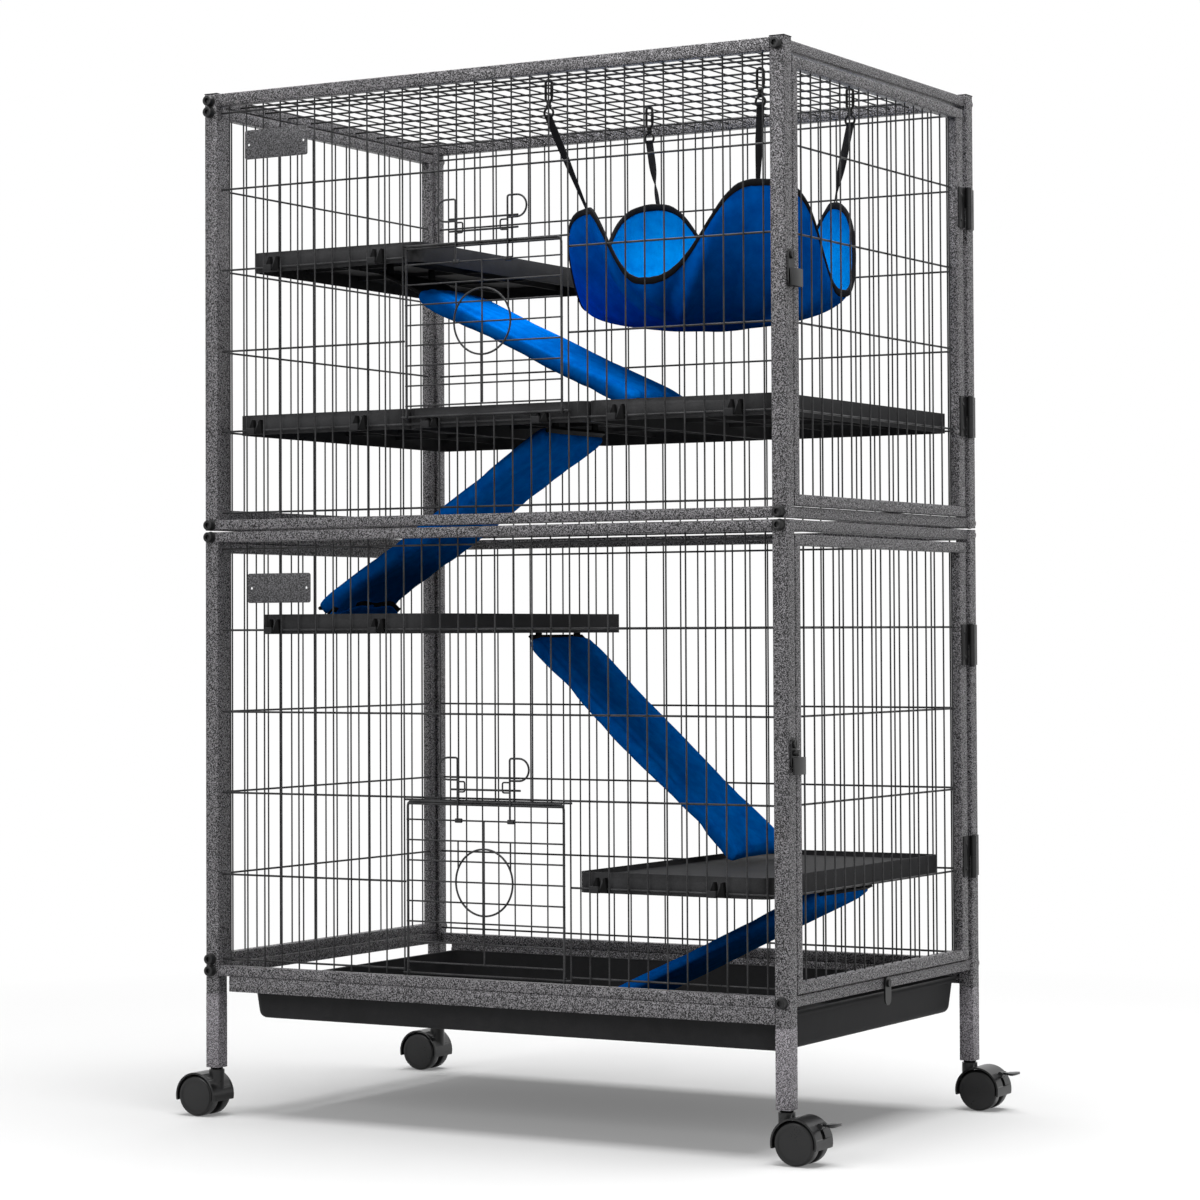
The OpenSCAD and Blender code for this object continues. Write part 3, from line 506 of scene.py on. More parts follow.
@cache
def weave() -> bpy.types.NodeTree:
    """Woven cloth: crossing threads with a soft uneven nap."""
    tree, src = new_group("WovenCloth", {
        "Threads": 900.0, "Deep": (0.0, 0.05, 0.3, 1.0), "Bright": (0.0, 0.2, 0.7, 1.0)})
    warp, weft = (
        tree.add("TexWave", {"bands_direction": way}, Vector=src["Vector"], Scale=src["Threads"],
                 Distortion=0.6, Detail=1.0).outputs["Fac"] for way in ("X", "DIAGONAL"))
    cross = tree.math("MULTIPLY", warp, weft)
    nap = tree.add("TexNoise", Vector=src["Vector"], Scale=60.0, Detail=5.0, Roughness=0.65).outputs["Fac"]
    shade = tree.math("MULTIPLY_ADD", cross, 0.25, tree.spread(nap, (0.3, 0.7), (0.15, 0.75)))
    tree.add("NodeGroupOutput", Color=tree.blend(shade, src["Deep"], src["Bright"]),
             Roughness=tree.spread(nap, (0.3, 0.7), (0.8, 0.95)), Height=cross)
    return tree.tree


@dataclass(frozen=True)
class Finish:
    """A surface finish: a name, a record slot and the values of its shader."""

    name: str
    slot: Slot
    effect: Callable[[], bpy.types.NodeTree]
    values: tuple[tuple[str, object], ...]
    bump: float
    bump_size: float
    metallic: float = 0.0
    specular: float = 0.5
    coat: float = 0.0
    sheen: float = 0.0
    sheen_tint: Color = (1.0, 1.0, 1.0)

    def material(self) -> bpy.types.Material:
        """Builds the material once and returns it from then on."""
        found = bpy.data.materials.get(self.name)
        if found:
            return found
        material = bpy.data.materials.new(self.name)
        material.use_nodes = True
        tree = Tree(material.node_tree)
        where = tree.add("TexCoord").outputs["Object"]
        effect = tree.add("Group", {"node_tree": self.effect()}, Vector=where, **dict(self.values)).outputs
        bump = tree.add("Bump", Strength=self.bump, Distance=self.bump_size, Height=effect["Height"])
        tree.fill("Principled BSDF", {
            "Base Color": effect["Color"], "Roughness": effect["Roughness"], "Normal": bump.outputs["Normal"],
            "Metallic": self.metallic, "Specular IOR Level": self.specular,
            "Coat Weight": self.coat, "Coat Roughness": 0.12, "Sheen Weight": self.sheen,
            "Sheen Roughness": 0.4, "Sheen Tint": (*self.sheen_tint, 1.0)})
        return material


def painted(name: str, slot: Slot, cells: float, valley: Color, peak: Color, bump: float, size: float,
            coat: float = 0.08) -> Finish:
    """Hammered paint with cells of a given count per metre."""
    values = (("Cells", cells), ("Valley", (*valley, 1.0)), ("Peak", (*peak, 1.0)))
    return Finish(name, slot, hammer, values, bump, size, metallic=0.3, specular=0.4, coat=coat)


def grained(name: str, slot: Slot, greys: Pair, dullness: Pair, bump: float, size: float,
            grain_size: float = 1500.0, **values: float) -> Finish:
    """Fine grain between two greys with a touch of blue, and between two roughnesses."""
    base, worn = ((v, v, v * 1.04, 1.0) for v in greys)
    parts = (("Base", base), ("Worn", worn), ("Gloss", dullness[0]), ("Dull", dullness[1]), ("Grain", grain_size))
    return Finish(name, slot, grain, parts, bump, size, **values)


def woven(name: str, slot: Slot, threads: float, deep: Color, bright: Color, bump: float = 0.3,
          size: float = 0.0003, **values: object) -> Finish:
    """Woven cloth between two colours."""
    parts = (("Threads", threads), ("Deep", (*deep, 1.0)), ("Bright", (*bright, 1.0)))
    return Finish(name, slot, weave, parts, bump, size, **values)


HAMMERED = painted("HammeredPaint", Slot.HAMMERED, 800.0, (0.006, 0.006, 0.0065), (0.3, 0.29, 0.305), 0.8, 0.0005)
LEG_PAINT = painted("LegPaint", Slot.HAMMERED, 900.0, (0.07, 0.066, 0.072), (0.44, 0.418, 0.45), 0.7, 0.0005)
PLATE = painted("HammeredPlate", Slot.PLATE, 800.0, (0.02, 0.02, 0.021), (0.16, 0.157, 0.167), 0.6, 0.0004, 0.05)
WIRE_PAINT = grained("WirePaint", Slot.WIRE, (0.01, 0.075), (0.25, 0.45), 0.4, 0.00015, 620.0,
                     metallic=0.15, specular=0.14)
# Darker copy of the wire paint for the top mesh: painted shade on wires seen from below.
TOP_WIRE_SHADED = grained("TopWirePaint", Slot.WIRE, (0.006, 0.03), (0.3, 0.5), 0.4, 0.00015, 620.0,
                   metallic=0.2, specular=0.2)
BLACK_STEEL = grained("BlackSteel", Slot.BLACK_STEEL, (0.008, 0.022), (0.28, 0.45), 0.15, 0.0001,
                      metallic=0.2, specular=0.3)
BLACK_PLASTIC = grained("BlackPlastic", Slot.BLACK_PLASTIC, (0.004, 0.009), (0.55, 0.7), 0.2, 0.0001,
                        specular=0.06)
SHELF_PLASTIC = grained("ShelfPlastic", Slot.SHELF, (0.026, 0.048), (0.6, 0.75), 0.35, 0.00015, 700.0,
                        specular=0.06)
PAN_PLASTIC = grained("PanPlastic", Slot.PAN, (0.022, 0.036), (0.5, 0.65), 0.2, 0.00012, 900.0, specular=0.06)
HOOK_PLASTIC = grained("HookGloss", Slot.HOOK, (0.002, 0.005), (0.3, 0.45), 0.1, 0.0001, specular=0.15)
CASTER_GLOSS = grained("CasterGloss", Slot.CASTER, (0.01, 0.015), (0.26, 0.38), 0.08, 0.0001, 600.0,
                       specular=0.3, coat=0.06)
RAMP_CLOTH = woven("RampCloth", Slot.RAMP, 500.0, (0.0, 0.06, 0.34), (0.0, 0.16, 0.62),
                   specular=0.0, sheen=0.05, sheen_tint=(0.0, 0.5, 1.0))
HAMMOCK_CLOTH = woven("HammockCloth", Slot.HAMMOCK, 500.0, (0.0, 0.06, 0.36), (0.0, 0.14, 0.62),
                      specular=0.0, sheen=0.05, sheen_tint=(0.0, 0.45, 1.0))
# Brighter, more cyan copy of the hammock cloth for the faces inside the bowl: painted light.
HAMMOCK_LIT_INSIDE = woven("HammockLining", Slot.HAMMOCK, 500.0, (0.0, 0.12, 0.42), (0.0, 0.25, 0.66),
                       specular=0.0, sheen=0.06, sheen_tint=(0.0, 0.5, 1.0))
# Black tape bound over the hammock's rim; the ramp sleeve also uses it as painted shade in the gap under its foot.
BINDING_AND_GAP_SHADE = woven("HammockBinding", Slot.HAMMOCK, 700.0, (0.002, 0.002, 0.0025), (0.011, 0.011, 0.013), 0.4,
                specular=0.1)
WEBBING = woven("Webbing", Slot.WEBBING, 450.0, (0.002, 0.002, 0.0025), (0.013, 0.013, 0.015), 0.6, 0.0004,
                specular=0.12)
BY_SLOT = {f.slot: f for f in (
    HAMMERED, PLATE, WIRE_PAINT, BLACK_STEEL, BLACK_PLASTIC, SHELF_PLASTIC, PAN_PLASTIC, RAMP_CLOTH,
    HAMMOCK_CLOTH, WEBBING, HOOK_PLASTIC, CASTER_GLOSS)}


def dress_cad_nodes() -> None:
    """Gives every CAD node the finish of its record slot."""
    slots = {s["node"]: s["material_slot"] for s in frame["record"]["subparts"]}
    for name, obj in frame["nodes"].items():
        material = BY_SLOT[Slot(slots[name])].material()
        if not obj.material_slots:
            obj.data.materials.append(material)
        for place_slot in obj.material_slots:
            place_slot.material = material


# Studio


@dataclass(frozen=True)
class Studio:
    """Floor, light and camera around the cage. A lamp has a name, a place, a size and a power."""

    lamps: tuple[tuple[str, Point, float, float], ...] = (
        ("Key", (-1.2, -3.6, 2.2), 1.6, 42.0), ("Fill", (3.2, -1.6, 1.4), 1.4, 9.0),
        ("Top", (0.3, 0.0, 3.2), 3.0, 185.0))
    eye: Point = (2.09415, -3.6385, 0.5898)
    yaw: float = 30.565
    pitch: float = 1.56
    roll: float = -0.004384
    lens: float = 102.0
    shift_x: float = 0.0333
    shift_y: float = -0.05
    glow: float = 0.17
    fade: Pair = (0.75, 1.9)
    ambient: float = 0.24
    aim: Point = (0.0, 0.0, 0.6)

    def camera(self) -> None:
        """Stands the camera where the photograph was taken from."""
        yaw, pitch = math.radians(self.yaw), math.radians(self.pitch)
        look = Vector((-math.sin(yaw) * math.cos(pitch), math.cos(yaw) * math.cos(pitch), math.sin(pitch)))
        side = Vector((math.cos(yaw), math.sin(yaw), 0.0))
        right = side * math.cos(self.roll) + side.cross(look) * math.sin(self.roll)
        turn = Matrix((right, right.cross(look), -look)).transposed().to_4x4()
        data = bpy.data.cameras.new("Camera")
        data.lens, data.sensor_width, data.clip_end = self.lens, 36.0, 60.0
        data.shift_x, data.shift_y = self.shift_x, self.shift_y
        obj = bpy.data.objects.new("Camera", data)
        bpy.context.scene.collection.objects.link(obj)
        obj.matrix_world = Matrix.Translation(Vector(self.eye)) @ turn
        bpy.context.scene.camera = obj

    @staticmethod
    def seen(tree: Tree) -> Socket:
        """1 for rays that show the background and 0 for those that light the cage."""
        rays = tree.add("LightPath").outputs
        direct = tree.math("MAXIMUM", rays["Is Camera Ray"], rays["Is Transmission Ray"])
        return tree.math("MAXIMUM", direct, rays["Is Glossy Ray"])

    def floor(self) -> None:
        """Lays a pale floor that shows white to the camera and keeps the shadow."""
        bpy.ops.mesh.primitive_plane_add(size=60.0, location=(0, 0, 0))
        floor = bpy.context.active_object
        floor.name = "Floor"
        material = bpy.data.materials.new("PaleFloor")
        material.use_nodes = True
        tree = Tree(material.node_tree)
        away = tree.add("VectorMath", {"operation": "LENGTH"}, tree.add("TexCoord").outputs["Object"])
        far = tree.spread(away.outputs["Value"], self.fade)
        glow = tree.spread(far, (0.0, 1.0), (self.glow, 1.0))
        tree.fill("Principled BSDF", {
            "Base Color": tree.blend(far, (0.6, 0.6, 0.6, 1.0), (0.0, 0.0, 0.0, 1.0)),
            "Emission Strength": tree.math("MULTIPLY", self.seen(tree), glow),
            "Emission Color": (1, 1, 1, 1), "Roughness": 0.8, "Specular IOR Level": 0.0})
        floor.data.materials.append(material)

    def lights(self) -> None:
        """Hangs soft lamps and a pale world round the cage."""
        world = bpy.data.worlds.new("World")
        bpy.context.scene.world = world
        world.use_nodes = True
        tree = Tree(world.node_tree)
        tree.fill("Background", {
            "Color": (1, 1, 1, 1), "Strength": tree.spread(self.seen(tree), (0.0, 1.0), (self.ambient, 1.0))})
        for name, where, size, power in self.lamps:
            data = bpy.data.lights.new(name, "AREA")
            data.energy, data.size = power, size
            lamp = bpy.data.objects.new(name, data)
            bpy.context.scene.collection.objects.link(lamp)
            lamp.location = where
            lamp.rotation_euler = (Vector(self.aim) - Vector(where)).to_track_quat("-Z", "Y").to_euler()

    def build(self) -> None:
        """Sets up the view, the floor and the light."""
        bpy.context.scene.view_settings.view_transform = "Standard"
        self.camera()
        self.floor()
        self.lights()


# Cage steelwork


@dataclass(frozen=True)
class Sizes:
    """Sizes of the cage in drawing millimetres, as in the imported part."""

    half_w: float = 400.0
    half_d: float = 260.0
    post: float = 19.0
    rail: float = 12.7
    pitch: float = 25.4
    upright: float = 2.0
    cross: float = 2.5
    side_x: float = 391.0
    small_w: float = 214.4
    small_h: float = 203.0
    wire_y: float = 251.0
    cross_y: float = 249.05

    @property
    def in_x(self) -> float:
        """Inner face of a post along the front."""
        return self.half_w - self.post

    @property
    def in_y(self) -> float:
        """Inner face of a post along the side."""
        return self.half_d - self.post


S = Sizes()


@dataclass(frozen=True)
class Storey:
    """One storey: its posts, rails and rows of cross wires."""

    name: str
    post_low: float
    post_high: float
    rails: tuple[Pair, Pair]
    rows: tuple[float, ...]
    door_z: float
    panel: Pair
    side_door: Pair

    @property
    def wires(self) -> Pair:
        """Lowest and highest point of the upright wires."""
        return self.rails[0][1], self.rails[1][0]

    def rows_in(self, low: float, high: float) -> list[float]:
        """Heights of the cross wires that have room between two heights."""
        return [z for z in self.rows if low + 2 < z < high - 2]


UPPER = Storey("upper", 717.0, 1255.0, ((717.0, 729.7), (1239.5, 1255.0)),
               (738.5, 838.5, 937.5, 1037.5, 1137.5, 1232.0), 846.5, (729.75, 1239.0), (730.7, 1235.5))
LOWER = Storey("lower", 150.0, 715.0, ((172.0, 184.7), (702.3, 715.0)),
               (192.1, 295.5, 395.5, 494.5, 594.5, 694.0), 188.5, (185.8, 702.2), (185.8, 698.6))


@dataclass(frozen=True)
class EndFrame:
    """A welded front or back frame of square tube."""

    storey: Storey
    side: int
    corner: float = 1.8

    def span(self, depth: float) -> Pair:
        """Range along Y of something that lies a depth in from the outer face."""
        near, far = S.half_d * self.side, (S.half_d - depth) * self.side
        return min(near, far), max(near, far)

    def build(self) -> None:
        """Builds two posts and two rails as one piece."""
        st = self.storey
        node = f"{st.name}_{'front' if self.side < 0 else 'back'}_frame"
        y0, y1 = self.span(S.post)
        tubes = [square_tube((x, y0, st.post_low), (x + S.post, y1, st.post_high), Axis.Z, corner=self.corner)
                 for x in (-S.half_w, S.in_x)]
        y0, y1 = self.span(S.rail)
        tubes += [square_tube((-S.in_x, y0, low), (S.in_x, y1, high), Axis.X, corner=self.corner * 0.8)
                  for low, high in st.rails]
        assemble(tubes, f"{node}_tubes", "cage", HAMMERED, [node], 40)


@dataclass(frozen=True)
class Grille:
    """The welded wires of a front or back frame."""

    storey: Storey
    side: int

    @property
    def door_top(self) -> float:
        """Height of the rod over the doorway."""
        return self.storey.door_z + S.small_h + 1.2

    @property
    def sill(self) -> bool:
        """Whether there are wires below the doorway."""
        return self.storey.door_z - self.storey.wires[0] > 10

    def row(self, first: float, count: int, low: float, high: float) -> Object:
        """Upright wires side by side."""
        x, y = (first + 0.5) * S.pitch, S.wire_y * self.side
        return repeat(wire((x, y, low), (x, y, high), S.upright), count, (S.pitch, 0.0, 0.0))

    def uprights(self) -> list[Object]:
        """Upright wires, which stop short round a doorway in the front."""
        z0, z1 = self.storey.wires
        if self.side > 0:
            return [self.row(-15, 30, z0, z1)]
        rows = [self.row(-15, 11, z0, z1), self.row(4, 11, z0, z1), self.row(-4, 8, self.door_top - 1, z1)]
        if self.sill:
            rows.append(self.row(-4, 8, z0, self.storey.door_z + 1))
        return rows

    def crossings(self) -> list[Object]:
        """Cross wires and, in the front, the rods round the doorway."""
        y, front = S.cross_y * self.side, -S.wire_y
        z_door, top, edge = self.storey.door_z, self.door_top, S.small_w / 2 + 6.4
        wires = []
        for z in self.storey.rows:
            spans = ((-S.in_x, S.in_x),)
            if self.side < 0 and z_door <= z <= top:
                spans = ((-S.in_x, -edge), (edge, S.in_x))
            wires += [wire((x0, y, z), (x1, y, z), S.cross) for x0, x1 in spans]
        if self.side < 0:
            rods = [(edge + 1.4, y, top), (edge + 1.4, front - 2.1, z_door)]
            rods += [(48.0, front - 1.95, top + h) for h in (13.3, 27.8)]
            if self.sill:
                rods.append((edge + 1.4, y, z_door))
            wires += [wire((-x, depth, z), (x, depth, z), S.cross) for x, depth, z in rods]
        return wires


def build_grilles() -> None:
    """Builds the front wires of both storeys and the grilles in the back."""
    front = [Grille(storey, -1) for storey in (UPPER, LOWER)]
    for node, parts in (("front_uprights", [w for g in front for w in g.uprights()]),
                        ("front_cross_wires", [w for g in front for w in g.crossings()])):
        assemble(parts, f"{node}_round", "cage", WIRE_PAINT, [node])
    for storey in (UPPER, LOWER):
        back = Grille(storey, 1)
        assemble(back.uprights() + back.crossings(), f"{storey.name}_back_wires", "cage", WIRE_PAINT,
                 [f"{storey.name}_back_grille"])


@dataclass(frozen=True)
class FixedPanel:
    """A framed wire panel in the left side."""

    storey: Storey
    first: float = -8.5
    count: int = 18

    def build(self) -> None:
        """Builds the panel's tubes and its wires."""
        x, y, r, (z0, z1) = S.side_x, S.in_y, S.rail, self.storey.panel
        x0, x1, low, high = -x - r / 2, -x + r / 2, z0 + r, z1 - r
        tubes = [square_tube((x0, -y, z), (x1, y, z + r), Axis.Y, corner=1.4) for z in (z0, high)]
        tubes += [square_tube((x0, side, low), (x1, side + r, high), Axis.Z, corner=1.4) for side in (-y, y - r)]
        assemble(tubes, f"left_{self.storey.name}_panel_tubes", "cage", HAMMERED,
                 [f"left_panel_{self.storey.name}"], 40)
        start, plane = self.first * S.pitch, x1 - 4.25
        wires = [repeat(wire((-x, start, low), (-x, start, high), S.upright), self.count, (0, S.pitch, 0))]
        wires += [wire((plane, r - y, z), (plane, y - r, z), S.cross) for z in self.storey.rows_in(low, high)]
        assemble(wires, f"left_{self.storey.name}_panel_wires", "cage", WIRE_PAINT)


@dataclass(frozen=True)
class TopMesh:
    """Wire mesh between the top rails."""

    long_z: float = 1245.0
    short_z: float = 1247.0

    def build(self) -> None:
        """Builds the mesh as one piece."""
        x, y = S.side_x - S.rail / 2, S.half_d - S.rail
        start, back = -14.5 * S.pitch, -8 * S.pitch
        short = wire((start, -y, self.short_z), (start, y, self.short_z), S.upright)
        long = wire((-x, back, self.long_z), (x, back, self.long_z), S.cross)
        wires = [repeat(short, 30, (S.pitch, 0, 0)), repeat(long, 9, (0, 2 * S.pitch, 0))]
        # The top wires take the darker copy of the wire paint: painted shade.
        assemble(wires, "top_mesh_wires", "cage", TOP_WIRE_SHADED, ["top_mesh"])


@dataclass(frozen=True)
class SideRails:
    """Square rails bolted between the front and the back."""

    heights: tuple[float, ...] = (1246.65, 723.35, 708.65, 178.05)

    def build(self) -> None:
        """Builds the eight rails as one piece."""
        h, y = S.rail / 2, S.in_y
        tubes = [square_tube((x - h, -y, z - h), (x + h, y, z + h), Axis.Y, corner=1.4)
                 for x in (-S.side_x, S.side_x) for z in self.heights]
        assemble(tubes, "side_rail_tubes", "cage", HAMMERED, ["side_rails"], 40)


@dataclass(frozen=True)
class SideDoor:
    """A framed wire door in the right side, with a broader tube at its hinges."""

    storey: Storey
    inner: float = 387.3
    outer: float = 400.0
    front: float = -239.5
    hinge: float = 210.0
    back: float = 229.0
    count: int = 17

    def build(self) -> None:
        """Builds the door's tubes and its wires, which move together."""
        x0, x1, r, (z0, z1) = self.inner, self.outer, S.rail, self.storey.side_door
        low, high, inside, name = z0 + r, z1 - r, self.front + S.rail, self.storey.name
        tubes = [square_tube((x0, self.front, z), (x1, self.back, z + r), Axis.Y, corner=1.4) for z in (z0, high)]
        tubes += [square_tube((x0, y0, low), (x1, y1, high), Axis.Z, corner=1.4)
                  for y0, y1 in ((self.front, inside), (self.hinge, self.back))]
        assemble(tubes, f"{name}_door_tubes", f"{name}_door_body", HAMMERED, [f"{name}_door"], 40)
        start, plane, cross = -8.15 * S.pitch, (x0 + x1) / 2, x0 + 4.2
        wires = [repeat(wire((plane, start, low), (plane, start, high), S.upright), self.count, (0, S.pitch, 0))]
        wires += [wire((cross, inside, z), (cross, self.hinge, z), S.cross)
                  for z in self.storey.rows_in(low, high)]
        assemble(wires, f"{name}_door_wires", f"{name}_door_body", WIRE_PAINT)


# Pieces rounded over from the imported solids, and moulded pieces


@dataclass(frozen=True)
class Rounded:
    """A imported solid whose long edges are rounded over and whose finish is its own."""

    node: str
    body: str
    finish: Finish
    width: float
    longest: float

    def build(self) -> None:
        """Builds the rounded copy, which replaces the solid."""
        piece = soft_copy(self.node, self.width, self.longest)
        place(piece, f"{self.node}_rounded", self.body, self.finish, [self.node])


ROUNDED = (
    Rounded("legs", "cage", LEG_PAINT, 1.5, 12.0),
    Rounded("pan_runners", "cage", HAMMERED, 0.6, 12.0),
    Rounded("post_caps", "cage", BLACK_PLASTIC, 0.5, 6.0),
    Rounded("frame_bolts", "cage", BLACK_STEEL, 0.35, 0.6),
    *(Rounded(f"shelf_{name}", "cage", SHELF_PLASTIC, 0.6, 4.0)
      for name in ("top_left", "mid_left", "mid_centre", "mid_right", "low_left", "low_right")),
    Rounded("ramp_boards", "cage", BLACK_PLASTIC, 0.5, 6.0),
    Rounded("name_plates", "cage", PLATE, 0.3, 0.3),
    Rounded("hinge_post_leaves", "cage", BLACK_STEEL, 0.3, 0.6),
    Rounded("hinge_pins", "cage", BLACK_STEEL, 0.3, 0.4),
    Rounded("latch_screws", "cage", BLACK_STEEL, 0.3, 0.4),
    *(Rounded(f"{name}_door_fittings", f"{name}_door_body", BLACK_STEEL, 0.3, 0.6) for name in ("upper", "lower")),
    *(Rounded(f"{name}_latch_lever", f"{name}_lever_body", BLACK_STEEL, 0.4, 0.6) for name in ("upper", "lower")),
    Rounded("caster_stems", "cage", BLACK_PLASTIC, 0.4, 2.0),
)


@dataclass(frozen=True)
class Pan:
    """The slide-out pan: a tub with rounded corners and foot, a flange, end lips and floor ribs."""

    left: float = -355.0
    right: float = 385.0
    deep: float = 240.0
    low: float = 120.0
    high: float = 163.0
    inset: float = 4.5
    taper: float = 4.5
    wall: float = 2.2
    corner: float = 16.0
    foot: float = 8.0
    flange: Pair = (161.2, 164.0)
    flange_width: float = 6.8
    flange_corner: float = 14.0
    lip: Pair = (158.0, 162.0)
    lip_thick: float = 1.6
    rib_pitch: float = 70.0
    rib_end: float = 55.0

    def tub(self) -> Object:
        """The tub, open at the top."""
        low = (self.left + self.inset, -self.deep + self.inset, self.low)
        high = (self.right - self.inset, self.deep - self.inset, self.high)
        obj = block(low, high)
        bevel(obj, self.corner, 6, lambda p, q: abs(p.z - q.z) > 0.01)
        bevel(obj, self.foot, 5, lambda p, q: max(p.z, q.z) < (self.low + 1) * MM)
        with selected(obj, Part.FACE, lambda c, n: c.z > (self.high - 1) * MM):
            bpy.ops.mesh.delete(type="FACE")
        a, b = spot(*low), spot(*high)
        middle, half = (a + b) / 2, (b - a) / 2
        for vertex in obj.data.vertices:
            share = (self.high * MM - vertex.co.z) / ((self.high - self.low) * MM)
            for k in (0, 1):
                vertex.co[k] = middle[k] + (vertex.co[k] - middle[k]) * (1 - share * self.taper * MM / half[k])
        return modify(obj, "SOLIDIFY", thickness=self.wall * MM, offset=-1.0)

    def rib(self, middle: float) -> Object:
        """A low rib along the floor, rounded on top."""
        floor, x0, x1 = self.low + self.wall, self.left + self.rib_end, self.right - self.rib_end
        rib = block((x0, middle - 3, floor - 0.4), (x1, middle + 3, floor + 1.4))
        return bevel(rib, 1.0, 3, lambda p, q: min(p.z, q.z) > (floor + 1) * MM)

    def build(self) -> None:
        """Builds the pan as one piece."""
        (z0, z1), (low, high), y, thick = self.flange, self.lip, self.deep - self.corner, self.lip_thick
        parts = [self.tub(), square_tube((self.left, -self.deep, z0), (self.right, self.deep, z1), Axis.Z,
                                         self.flange_width, self.flange_corner)]
        parts += [block((x, -y, low), (x + thick, y, high)) for x in (self.left, self.right - thick)]
        parts += [self.rib(self.rib_pitch * k) for k in range(-2, 3)]
        assemble(parts, "pan_tub", "pan_body", PAN_PLASTIC, ["pan"], 40)


@dataclass(frozen=True)
class PanTab:
    """The flat tab that hangs in front of the pan: a round head over a blade with a round end."""

    plane: float = 398.0
    thick: float = 2.0
    pivot: Pair = (-4.0, 177.5)
    radius: float = 8.0
    hole: float = 5.2
    drop: float = 25.5

    def build(self) -> None:
        """Builds the tab from two discs and a blade that are fused, with a hole for its screw."""
        y, z = self.pivot
        r, x0, x1 = self.radius, self.plane, self.plane + self.thick
        base = z - self.drop + r
        tab = wire((x0, y, z), (x1, y, z), 2 * r, 40)
        foot = wire((x0, y, base), (x1, y, base), 2 * r, 40)
        blade = block((x0, y - r, base), (x1, y + r, z))
        cutter = wire((x0 - 1, y, z), (x1 + 1, y, z), self.hole, 32)
        for other, mode in ((foot, "UNION"), (blade, "UNION"), (cutter, "DIFFERENCE")):
            modify(tab, "BOOLEAN", operation=mode, object=other, solver="EXACT")
            bpy.data.objects.remove(other)
        modify(tab, "BEVEL", width=0.35 * MM, segments=2, limit_method="ANGLE")
        place(smooth(tab), "pan_tab_blade", "pan_tab_body", BLACK_STEEL, ["pan_tab"])


@dataclass(frozen=True)
class ShelfClips:
    """The two snap clips in the front lip of each shelf, over the cross wire."""

    places: tuple[tuple[float, float, float], ...] = (
        (-304.8, 1037.5, 12), (-330.2, 838.5, 12), (-76.2, 838.5, 6), (177.8, 838.5, 12),
        (-304.8, 594.5, 12), (152.4, 295.5, 12))
    apart: float = 152.4
    front: float = -253.4
    saddle_front: float = -254.6
    back: float = -246.6

    def fang(self, x: float, z: float, tip: float) -> Object:
        """One pointed side of a clip."""
        obj = block((x - 5.4, self.front, z - 4.4), (x + 5.4, self.back, z + tip))
        with selected(obj, Part.FACE, lambda c, n: n.z > 0.9):
            bpy.ops.transform.resize(value=(0.1, 1, 1), center_override=spot(x + 2.4, -250, z + tip))
        return bevel(obj, 0.4, 2, lambda p, q: max(p.y, q.y) < (self.front + 0.4) * MM)

    def saddle(self, x: float, z: float) -> Object:
        """The block between the two sides, which holds the cross wire."""
        obj = block((x - 11.2, self.saddle_front, z - 4.8), (x - 0.4, self.back, z + 3.2))
        return bevel(obj, 0.9, 3, lambda p, q: max(p.y, q.y) < (self.saddle_front + 0.3) * MM)

    def build(self) -> None:
        """Builds all the clips as two pieces: the fangs, in black as painted shade, and the saddles."""
        spots = [(x + k * self.apart, z, tip) for x, z, tip in self.places for k in (0, 1)]
        fangs = [self.fang(x + s * 5.5, z, tip + 1) for x, z, tip in spots for s in (-1, 1)]
        # The fangs take black plastic as painted shade on gussets that lie in shadow.
        assemble(fangs, "shelf_clip_fangs", "cage", BLACK_PLASTIC, degrees=40)
        saddles = [self.saddle(x, z) for x, z, _ in spots]
        assemble(saddles, "shelf_clip_saddles", "cage", SHELF_PLASTIC, degrees=40)


# Wire doors and latches


@dataclass(frozen=True)
class SmallDoor:
    """A drop-down wire door in the front, hooked on a rod."""

    storey: Storey
    rod: float = 3.0
    thin: float = 2.0
    bent: float = 2.4
    ring: float = 39.0
    plane: float = -S.wire_y - 3.4

    def curl(self, side: int) -> Object:
        """The end of the frame rod, curled round the hinge rod."""
        x, z, y = side * S.small_w / 2, self.storey.door_z, -S.wire_y - 2.1
        turn = [math.radians(185 + 24 * i) for i in range(13)]
        path = [(x, self.plane, z + 12), (x, self.plane - 0.5, z + 6)]
        path += [(x, y + 2.5 * math.cos(a), z + 2.5 * math.sin(a)) for a in turn]
        return bent_wire(path, self.bent, 1.5)

    def build(self) -> None:
        """Builds the door as one piece."""
        x, z, y, name = S.small_w / 2, self.storey.door_z, self.plane, f"small_door_{self.storey.name}"
        high = z + S.small_h
        top = high - 0.1
        parts = [bent_wire([(-x, y, z + 6), (-x, y, top), (x, y, top), (x, y, z + 6)], self.rod, 7)]
        parts.append(wire((-x, y, top - 2.9), (x, y, top - 2.9), self.rod, 12))
        rods = wire((-x - 1.5, y - 0.2, z + 13), (x + 1.5, y - 0.2, z + 13), self.thin)
        parts.append(repeat(rods, 8, (0, 0, (S.small_h - 34.9) / 7)))
        parts.append(wire((0, y - 1.85, z + 14), (0, y - 1.85, high - 21), self.thin))
        parts += [wire((k, y - 1.7, high - 78), (k, y - 1.7, high - 46), self.thin) for k in (-36, 36)]
        parts += [self.curl(s) for s in (-1, 1)]
        parts.append(bent_wire(arc((0, y - 1.9, high - 93.6), self.ring, 0, 5, 72), self.bent, closed=True))
        assemble(parts, f"{name}_wires", f"small_{self.storey.name}_body", WIRE_PAINT, [name])


